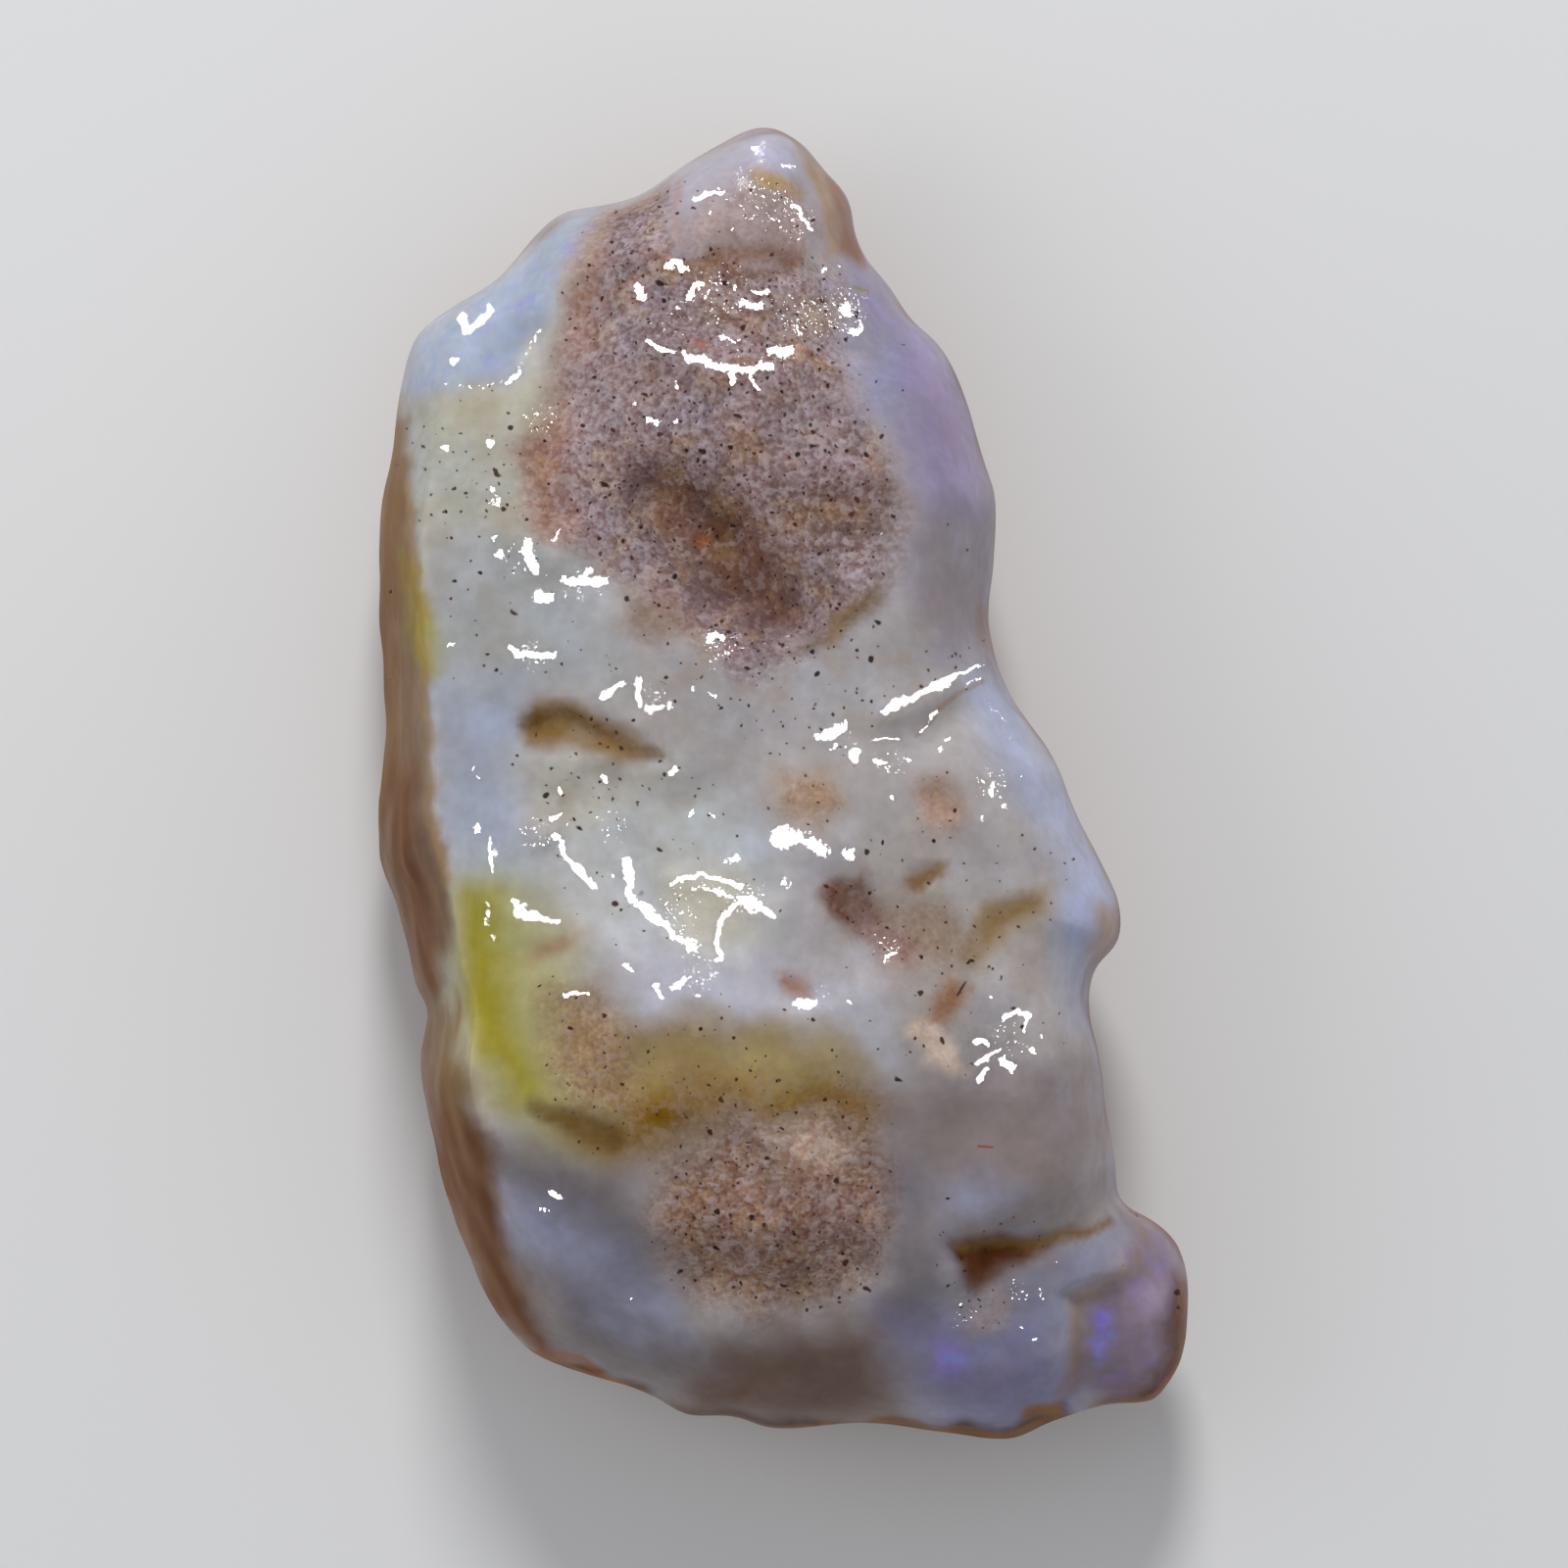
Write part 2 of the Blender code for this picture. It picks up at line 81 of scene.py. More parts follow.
# Place and height of the face's broad form, before its hollows and ridges
FACE = [
    (-0.5, 11.6, 6.1), (1.1, 10.7, 4.8), (-0.7, 9.9, 6.9), (-1.8, 9.2, 7.3), (0.1, 9.0, 7.1),
    (1.7, 8.8, 6.1), (-1.1, 7.8, 7.9), (-2.9, 7.1, 7.7), (0.1, 6.9, 8.1), (1.6, 6.4, 7.9),
    (-3.8, 5.9, 7.5), (-1.6, 4.9, 7.6), (-0.4, 3.5, 7.9), (1.3, 4.4, 8.1), (-6.0, 5.8, 6.7),
    (-4.8, 4.4, 7.9), (-6.1, 3.0, 7.5), (-4.4, 9.4, 6.0), (-5.9, 8.5, 5.7), (-5.4, 7.6, 5.9),
    (2.9, 7.4, 6.7), (3.4, 4.6, 7.3), (3.4, 2.8, 7.4), (1.9, 1.8, 8.0), (-0.4, 1.5, 8.5),
    (-2.6, 1.9, 8.4), (-4.8, 1.9, 8.0), (-6.0, 0.0, 7.7), (-3.8, -0.4, 8.4), (-1.5, 0.1, 8.6),
    (1.0, 0.1, 8.8), (3.0, -0.3, 8.4), (4.6, -0.7, 7.8), (0.4, -1.1, 9.1), (-1.8, -1.9, 8.7),
    (-3.9, -1.9, 8.6), (-5.7, -2.8, 7.8), (-2.8, -3.5, 8.9), (-0.7, -3.4, 8.9), (1.5, -2.6, 8.7),
    (3.8, -2.3, 8.1), (5.4, -2.5, 7.3), (2.3, -4.1, 9.0), (4.3, -4.8, 8.2), (-1.9, -5.2, 8.5),
    (-4.5, -5.2, 8.1), (0.1, -4.8, 8.7), (1.9, -6.2, 8.0), (4.7, -6.4, 7.9), (-0.2, -7.7, 8.1),
    (-2.3, -7.3, 8.1), (-3.9, -7.4, 7.8), (-4.6, -9.0, 6.9), (-1.8, -10.0, 6.8), (1.0, -10.0, 6.8),
    (2.8, -8.0, 7.7), (5.2, -9.6, 6.8), (6.9, -9.7, 6.0), (6.7, -11.2, 5.6), (3.4, -11.2, 6.1),
    (1.0, -11.6, 5.4), (-2.8, -11.0, 5.6),
]
FACE_REACH = 0.95

# Place and height of the back
BACK = [
    (-0.3, 11.6, 2.2), (-4.8, 8.8, 1.7), (2.2, 7.8, 1.0), (-0.5, 8.0, 0.4), (-5.6, 4.8, 0.8),
    (-1.0, 4.2, -0.5), (3.0, 4.0, 0.6), (-6.0, 0.5, 0.7), (-1.6, -0.8, -0.7), (4.2, -0.2, 0.5),
    (-5.6, -4.2, 0.5), (0.2, -5.0, -0.6), (4.6, -4.6, 0.3), (-4.2, -8.4, 0.6), (0.4, -8.6, -0.2),
    (4.6, -8.2, 0.6), (6.6, -10.4, 1.7), (2.6, -11.4, 1.3), (-2.4, -10.8, 1.1),
]
BACK_REACH = 1.9
BACK_SHOULDER = 3.0
BACK_SQUARENESS = 2.1

# Hollows in the face: corners in plan, drop, and width of the slope down
HOLLOWS = {
    "sand": ([
        (-3.2, 10.9), (-1.9, 11.0), (-1.2, 10.3), (0.9, 10.1), (2.3, 8.3), (2.6, 6.6), (2.5, 5.0),
        (1.3, 4.0), (0.3, 2.9), (-1.2, 2.9), (-2.8, 3.6), (-4.6, 5.0), (-5.0, 6.2), (-4.3, 7.6),
        (-3.9, 9.3)], 0.3, 1.0),
    "low sand": ([
        (-2.0, -6.6), (0.9, -6.5), (1.9, -7.6), (1.6, -9.2), (0.2, -9.8), (-1.7, -9.4),
        (-2.5, -8.0)], 0.16, 1.0),
    "corner lobe": ([
        (6.6, -8.3), (6.75, -8.7), (6.65, -9.2), (5.5, -9.65), (5.62, -10.2), (5.35, -11.6), (5.1, -12.6),
        (8.6, -12.6), (8.6, -8.6), (7.3, -8.3)], 0.5, 0.6),
    "bowl": ([
        (-4.45, 0.0), (-2.95, 0.2), (-1.1, 0.0), (0.0, -0.75), (0.0, -1.9), (-1.1, -3.25), (-2.2, -3.0),
        (-3.7, -2.05), (-4.55, -1.3)], 0.42, 1.1),
    "wet hollow": ([
        (3.75, -4.3), (4.6, -4.05), (4.95, -4.75), (4.7, -5.5), (3.9, -5.55), (3.5, -4.9)], 0.24, 0.9),
}

# Small pits: place, half length, half width, turn in degrees from +X, and depth
PITS = [
    (2.65, -1.75, 0.42, 0.28, 45, 0.08), (-4.4, -3.15, 0.6, 0.3, 40, 0.08),
    (0.25, -3.8, 0.45, 0.3, -30, 0.1), (1.5, 5.1, 1.1, 0.7, -10, 0.22), (2.9, -0.3, 0.7, 0.55, 0, 0.12),
    (-0.3, 9.85, 1.0, 0.5, -6, 0.18), (-2.3, 3.0, 0.8, 0.55, -20, 0.14), (-1.9, -5.4, 1.8, 1.0, 0, 0.1),
    (-4.0, -4.4, 1.0, 0.7, 20, 0.12), (-5.3, 8.35, 1.0, 0.6, 25, 0.22),
]

# Ridges, and grooves with a height below nought: path, height, half width
FOLDS = [
    ([(-2.3, 5.3), (-1.4, 4.6), (-0.5, 3.7), (0.1, 3.1)], -0.66, 0.78),
    ([(-4.7, 1.08), (-4.2, 1.2), (-3.6, 1.08), (-2.9, 0.84), (-2.35, 0.62)], -0.18, 0.32),
    ([(-4.85, 1.45), (-4.2, 1.68), (-3.5, 1.55), (-2.7, 1.2)], 0.06, 0.22),
    ([(1.15, -1.85), (1.5, -2.2), (1.85, -2.75), (2.05, -3.15)], -0.22, 0.42),
    ([(3.45, -8.8), (3.85, -9.0)], -0.24, 0.4), ([(3.7, -8.8), (4.8, -8.55), (6.1, -8.35)], -0.14, 0.26),
    ([(-4.3, -6.15), (-3.7, -6.45), (-3.2, -6.8)], -0.08, 0.28),
    ([(3.95, -2.85), (4.2, -2.55), (4.75, -2.3)], -0.08, 0.3),
    ([(2.85, -5.0), (3.15, -4.4), (3.5, -3.8)], -0.08, 0.28),
    ([(2.5, 0.75), (3.0, 1.15), (3.6, 1.55)], -0.14, 0.3),
    ([(1.2, 2.85), (1.6, 3.2), (2.1, 3.55)], -0.1, 0.34),
    ([(-2.45, 8.35), (-1.85, 8.15), (-1.0, 7.85), (0.05, 7.7)], 0.22, 0.36),
    ([(-4.4, -0.85), (-3.95, -1.3), (-3.45, -1.95)], 0.12, 0.26),
    ([(-2.95, -1.4), (-2.7, -2.15), (-2.05, -2.8), (-1.2, -3.25)], 0.14, 0.28),
    ([(-2.0, -1.85), (-1.1, -1.8), (-0.5, -2.25), (-0.05, -2.55)], 0.12, 0.26),
    ([(1.95, 1.35), (2.8, 1.7), (3.75, 2.2), (4.1, 2.35)], 0.26, 0.34),
    ([(-0.2, -0.95), (0.4, -1.05), (0.95, -1.35)], 0.16, 0.42),
    ([(-6.4, 7.45), (-5.55, 7.2), (-4.45, 7.45), (-3.9, 8.15)], 0.16, 0.3),
    ([(-5.45, -1.3), (-5.35, -2.2), (-4.75, -2.65), (-3.9, -2.75)], 0.1, 0.3),
    ([(4.8, 0.5), (5.5, -0.9), (6.05, -2.3)], 0.16, 0.45),
    ([(-5.6, 4.75), (-4.8, 4.75), (-4.2, 4.4)], 0.22, 0.4),
    ([(-0.7, -4.2), (0.3, -4.35), (1.6, -4.0)], 0.1, 0.45),
    ([(3.2, -5.4), (4.2, -5.5), (5.1, -5.0)], 0.08, 0.5),
]

# Shallow scars in the back, where flakes came off: place, radius, depth
SCARS = [
    (-5.0, 6.2, 3.0, 0.65), (3.6, 6.0, 2.6, 0.6), (4.9, -2.2, 2.8, 0.55), (-5.6, -2.0, 2.8, 0.6),
    (3.9, -10.3, 2.6, 0.55), (-3.4, -9.6, 2.7, 0.6), (0.2, 9.8, 2.2, 0.5),
]

# Heights of the lumps and of the wet skin's dimples, and their lengths
LUMPS = [(0.1, 2.6), (0.045, 0.9)]
DIMPLES = [(0.035, 0.4), (0.015, 0.22)]
# How far edges wander, and over what length
EDGE_WAVER = (0.2, 1.1)
LUMP_SEED = (3.7, 11.2, 5.9)

CURVE_STEPS = 6
RINGS = 110
VOXEL = 0.145
LARGEST_MOVE = 0.3
SIDE_SMOOTHINGS = 4
# The longest edges near the finest marks, from the first split to the last, and how low a mark can lie
FINE_EDGES = (0.14, 0.07, 0.035)
LOWEST_MARK = 3.5
FLAT_CUT = 0.04
FOOTPRINT_SHIFT = (-0.056, 0.0)

# Where the skin is finely dimpled and wet: place and radius
DIMPLED = [
    (-0.5, 11.1, 1.0), (0.3, 10.6, 1.0), (-1.2, 9.2, 1.3), (0.4, 8.8, 1.2), (1.4, 9.0, 0.9),
    (-4.5, 6.9, 0.9), (-4.9, 4.2, 0.9), (-3.8, 3.7, 0.9), (-4.7, 2.4, 0.8), (-2.4, 1.6, 0.8),
    (-1.2, 2.5, 0.9), (1.1, 0.8, 0.8), (2.1, 0.4, 0.8), (4.0, 0.0, 0.9), (-4.6, -1.0, 0.9),
    (-3.2, -0.8, 0.9), (-2.0, -2.4, 1.3), (-0.6, -2.1, 1.0), (-1.5, -3.6, 0.9), (0.8, -4.0, 0.8),
    (2.0, -3.0, 0.8), (4.3, -4.8, 0.9), (3.4, -10.0, 0.8), (4.5, -9.6, 0.8),
]

# Small wet faces that lean towards the tip and catch the light: path, half width, how closely they cover it
GLINT_LINES = [
    ([(-0.54, 12.2), (-0.43, 11.94)], 0.09, 0.6), ([(0.02, 11.72), (0.24, 11.68)], 0.07, 0.5),
    ([(-1.58, 11.07), (-1.32, 11.16), (-1.06, 11.16)], 0.07, 0.85),
    ([(0.23, 10.9), (0.41, 10.7), (0.61, 10.49)], 0.06, 0.85), ([(1.2, 9.04), (1.33, 8.91)], 0.08, 0.9),
    ([(1.36, 8.55), (1.55, 8.64), (1.51, 8.78)], 0.06, 0.95),
    ([(-2.1, 9.73), (-1.92, 9.83), (-1.83, 9.71)], 0.07, 0.9),
    ([(-1.71, 9.15), (-1.6, 9.37), (-1.47, 9.45)], 0.07, 0.95),
    ([(-0.47, 9.24), (-0.24, 9.26)], 0.07, 0.95), ([(-0.69, 9.04), (-0.43, 9.02)], 0.07, 0.95),
    ([(-2.66, 9.37), (-2.59, 9.16)], 0.06, 0.9), ([(0.32, 8.63), (0.41, 8.51)], 0.05, 0.8),
    ([(-0.15, 8.14), (0.15, 8.11)], 0.08, 1.0), ([(-1.06, 8.37), (-0.8, 8.39)], 0.04, 0.6),
    ([(-2.48, 8.37), (-2.29, 8.2), (-1.99, 8.11)], 0.06, 0.95),
    ([(-1.84, 8.02), (-1.47, 7.97), (-1.1, 7.81), (-0.73, 7.77), (-0.2, 7.81)], 0.08, 1.0),
    ([(-0.93, 7.73), (-0.89, 7.53)], 0.05, 0.95), ([(-0.54, 7.7), (-0.41, 7.4)], 0.05, 0.9),
    ([(-2.48, 6.88), (-2.36, 6.8)], 0.06, 0.7), ([(-6.04, 8.98), (-5.96, 8.55)], 0.06, 1.0),
    ([(-5.48, 9.02), (-5.66, 8.75), (-5.84, 8.6)], 0.07, 1.0),
    ([(-6.41, 7.54), (-5.86, 7.49), (-5.26, 7.54), (-4.96, 7.79), (-4.75, 8.2), (-4.5, 8.7)], 0.05, 0.45),
    ([(-5.16, 7.54), (-4.94, 7.77)], 0.06, 0.7), ([(-4.78, 4.46), (-4.71, 4.2), (-4.6, 3.97)], 0.1, 1.0),
    ([(-4.3, 4.53), (-4.15, 4.77)], 0.07, 0.75),
    ([(-4.04, 3.75), (-3.7, 3.8), (-3.29, 3.77)], 0.06, 0.95),
    ([(-3.74, 3.9), (-3.54, 4.01)], 0.05, 0.85), ([(-4.52, 3.53), (-4.34, 3.49)], 0.08, 0.9),
    ([(-5.08, 2.56), (-4.93, 2.41), (-4.6, 2.37), (-4.29, 2.41)], 0.08, 1.0),
    ([(-1.36, 2.67), (-1.21, 2.81), (-1.06, 2.75)], 0.05, 0.95),
    ([(-3.29, 1.7), (-3.0, 1.85)], 0.06, 0.95), ([(-2.7, 1.93), (-2.66, 1.48)], 0.08, 0.9),
    ([(-2.44, 1.41), (-2.08, 1.48)], 0.1, 0.8), ([(-3.32, 0.1), (-3.22, -0.01)], 0.05, 0.85),
    ([(-4.3, -0.64), (-4.08, -0.57)], 0.06, 0.8), ([(-5.75, 0.44), (-5.75, 0.1)], 0.04, 0.6),
    ([(-5.38, -1.05), (-5.38, -1.68)], 0.04, 0.65), ([(-2.92, -1.39), (-2.81, -1.76)], 0.09, 0.95),
    ([(-1.32, 1.67), (-1.16, 1.63)], 0.04, 0.8),
    ([(1.95, 1.33), (2.33, 1.52), (2.77, 1.78), (3.29, 2.0)], 0.1, 1.0),
    ([(3.29, 2.0), (3.67, 2.22), (4.0, 2.22)], 0.03, 0.95), ([(2.62, 0.96), (2.92, 1.33)], 0.04, 0.75),
    ([(1.73, 0.77), (2.22, 0.85)], 0.04, 0.75), ([(3.52, 1.85), (3.89, 2.0)], 0.03, 0.6),
    ([(0.76, 0.88), (1.02, 0.96), (1.21, 1.11)], 0.1, 0.85), ([(1.32, 0.44), (1.43, 0.66)], 0.08, 0.95),
    ([(1.81, 0.44), (1.99, 0.4)], 0.05, 0.85), ([(3.29, 0.88), (2.92, 0.59)], 0.04, 0.55),
    ([(3.89, 1.7), (3.97, 1.41), (4.3, 1.18), (4.3, 0.81)], 0.04, 0.42),
    ([(3.97, -0.01), (4.04, -0.2)], 0.07, 0.75),
    ([(0.02, -0.98), (0.39, -1.05), (0.76, -1.24)], 0.16, 1.0),
    ([(-4.26, -0.98), (-4.15, -1.16), (-3.99, -1.39), (-3.78, -1.61), (-3.52, -1.91)], 0.08, 1.0),
    ([(-5.42, -1.13), (-5.4, -1.68)], 0.04, 0.65),
    ([(-5.01, -2.21), (-4.93, -2.43), (-4.6, -2.47), (-4.15, -2.62)], 0.07, 0.95),
    ([(-2.89, -1.42), (-2.77, -1.72), (-2.81, -2.09), (-2.66, -2.24)], 0.09, 0.95),
    ([(-2.66, -2.24), (-2.29, -2.54), (-1.99, -2.91), (-1.66, -3.02)], 0.09, 1.0),
    ([(-2.03, -1.86), (-1.69, -1.74), (-1.17, -1.76), (-0.73, -1.95)], 0.06, 1.0),
    ([(-1.66, -1.95), (-1.17, -2.02), (-0.8, -2.17)], 0.11, 0.7),
    ([(-1.1, -2.62), (-0.99, -2.39), (-0.73, -2.24), (-0.13, -2.43)], 0.1, 0.95),
    ([(-1.17, -2.69), (-1.17, -3.29)], 0.06, 0.85), ([(-2.92, -3.43), (-2.74, -3.55)], 0.06, 0.6),
    ([(-2.29, -3.81), (-2.22, -3.96)], 0.06, 0.7), ([(-1.92, -3.81), (-1.77, -3.66)], 0.08, 0.8),
    ([(-4.0, -3.97), (-3.63, -3.94)], 0.06, 0.9), ([(0.28, -4.18), (0.65, -4.1)], 0.06, 1.0),
    ([(-5.51, -2.26), (-5.42, -3.0)], 0.04, 0.52),
    ([(4.23, -4.4), (4.49, -4.25), (4.67, -4.48), (4.6, -4.63)], 0.07, 1.0),
    ([(3.63, -4.89), (3.78, -4.81), (3.89, -4.85)], 0.05, 0.95),
    ([(3.67, -5.3), (3.85, -5.18), (4.11, -5.04)], 0.06, 0.85),
    ([(3.78, -5.56), (3.93, -5.37)], 0.07, 1.0), ([(4.11, -5.26), (4.37, -5.3)], 0.08, 1.0),
    ([(1.97, -3.3), (2.16, -3.15)], 0.06, 1.0), ([(-4.26, -7.7), (-4.14, -7.72)], 0.08, 1.0),
    ([(-4.56, -8.01), (-4.37, -8.05)], 0.04, 0.6), ([(4.87, -9.54), (4.97, -9.76)], 0.04, 0.7),
]
# The same, round: place, half width, cover
GLINT_SPOTS = [
    (-0.84, 11.9, 0.1, 0.5), (-1.14, 11.29, 0.06, 0.7), (-1.31, 10.73, 0.07, 0.7),
    (-0.89, 10.42, 0.06, 0.6), (0.82, 9.73, 0.07, 0.6), (1.06, 9.78, 0.06, 0.6), (-1.93, 9.02, 0.1, 0.7),
    (-0.87, 9.37, 0.07, 0.85), (-1.21, 9.42, 0.05, 0.65), (-1.28, 9.02, 0.07, 0.65),
    (-2.74, 7.21, 0.06, 0.8), (-1.93, 6.78, 0.06, 0.8), (-6.16, 8.02, 0.09, 0.95),
    (-6.31, 6.37, 0.07, 0.75), (-5.48, 6.41, 0.07, 0.8), (-5.34, 5.33, 0.1, 0.7),
    (-5.41, 5.53, 0.06, 0.8), (-1.94, 7.54, 0.07, 0.7), (-5.27, 4.35, 0.13, 0.75),
    (-5.38, 4.61, 0.08, 0.6), (-5.38, 5.29, 0.1, 0.65), (-5.38, 5.49, 0.06, 0.8),
    (-6.21, 2.6, 0.06, 0.95), (-1.63, 1.83, 0.05, 0.8), (-1.17, 1.67, 0.04, 0.7),
    (-1.99, 0.23, 0.06, 0.9), (-4.15, -0.14, 0.07, 0.7), (-3.97, -0.75, 0.04, 0.7),
    (-1.69, -0.57, 0.06, 0.95), (-1.25, -0.57, 0.07, 0.65), (-5.71, -0.84, 0.07, 1.0),
    (-0.87, -1.42, 0.09, 0.85), (-1.62, 1.81, 0.06, 0.85), (1.02, 0.74, 0.09, 0.8),
    (2.44, 0.4, 0.06, 0.8), (4.23, -0.46, 0.08, 0.7), (3.85, -0.68, 0.07, 0.9), (4.52, 0.14, 0.06, 0.65),
    (2.07, -0.28, 0.08, 0.9), (1.32, -1.26, 0.1, 0.95), (-0.91, -1.39, 0.1, 0.8),
    (-1.69, -0.55, 0.07, 0.8), (-1.32, -0.55, 0.06, 0.7), (0.13, -1.87, 0.12, 0.85),
    (-4.9, -2.32, 0.09, 1.0), (-3.17, -1.72, 0.06, 0.6), (-0.84, -1.39, 0.08, 0.9),
    (-1.55, -3.99, 0.07, 0.75), (-1.25, -3.58, 0.06, 0.55), (1.32, -4.1, 0.1, 0.75),
    (4.9, -4.75, 0.04, 0.95), (4.75, -5.04, 0.06, 0.8), (3.93, -4.03, 0.05, 0.8),
    (-4.0, -7.51, 0.04, 0.7), (-2.81, -9.78, 0.04, 0.75), (5.21, -9.08, 0.04, 0.95),
    (4.58, -10.3, 0.05, 0.95), (4.78, -10.51, 0.04, 0.7),
]
GLINTS = GLINT_LINES + [([(x, y)], half_width, cover) for x, y, half_width, cover in GLINT_SPOTS]
# The way the glinting faces lean, as a normal
LEAN = (0.0, 0.375, 0.927)
WET_GLINT = 0.36

BODY = "bdb6b4"
SKIN, DARK_SKIN, GREY_SKIN = "a07a56", "8a5a38", "b09a8c"
MILKY_SIDE = ("a8a0a8", "8e8494")
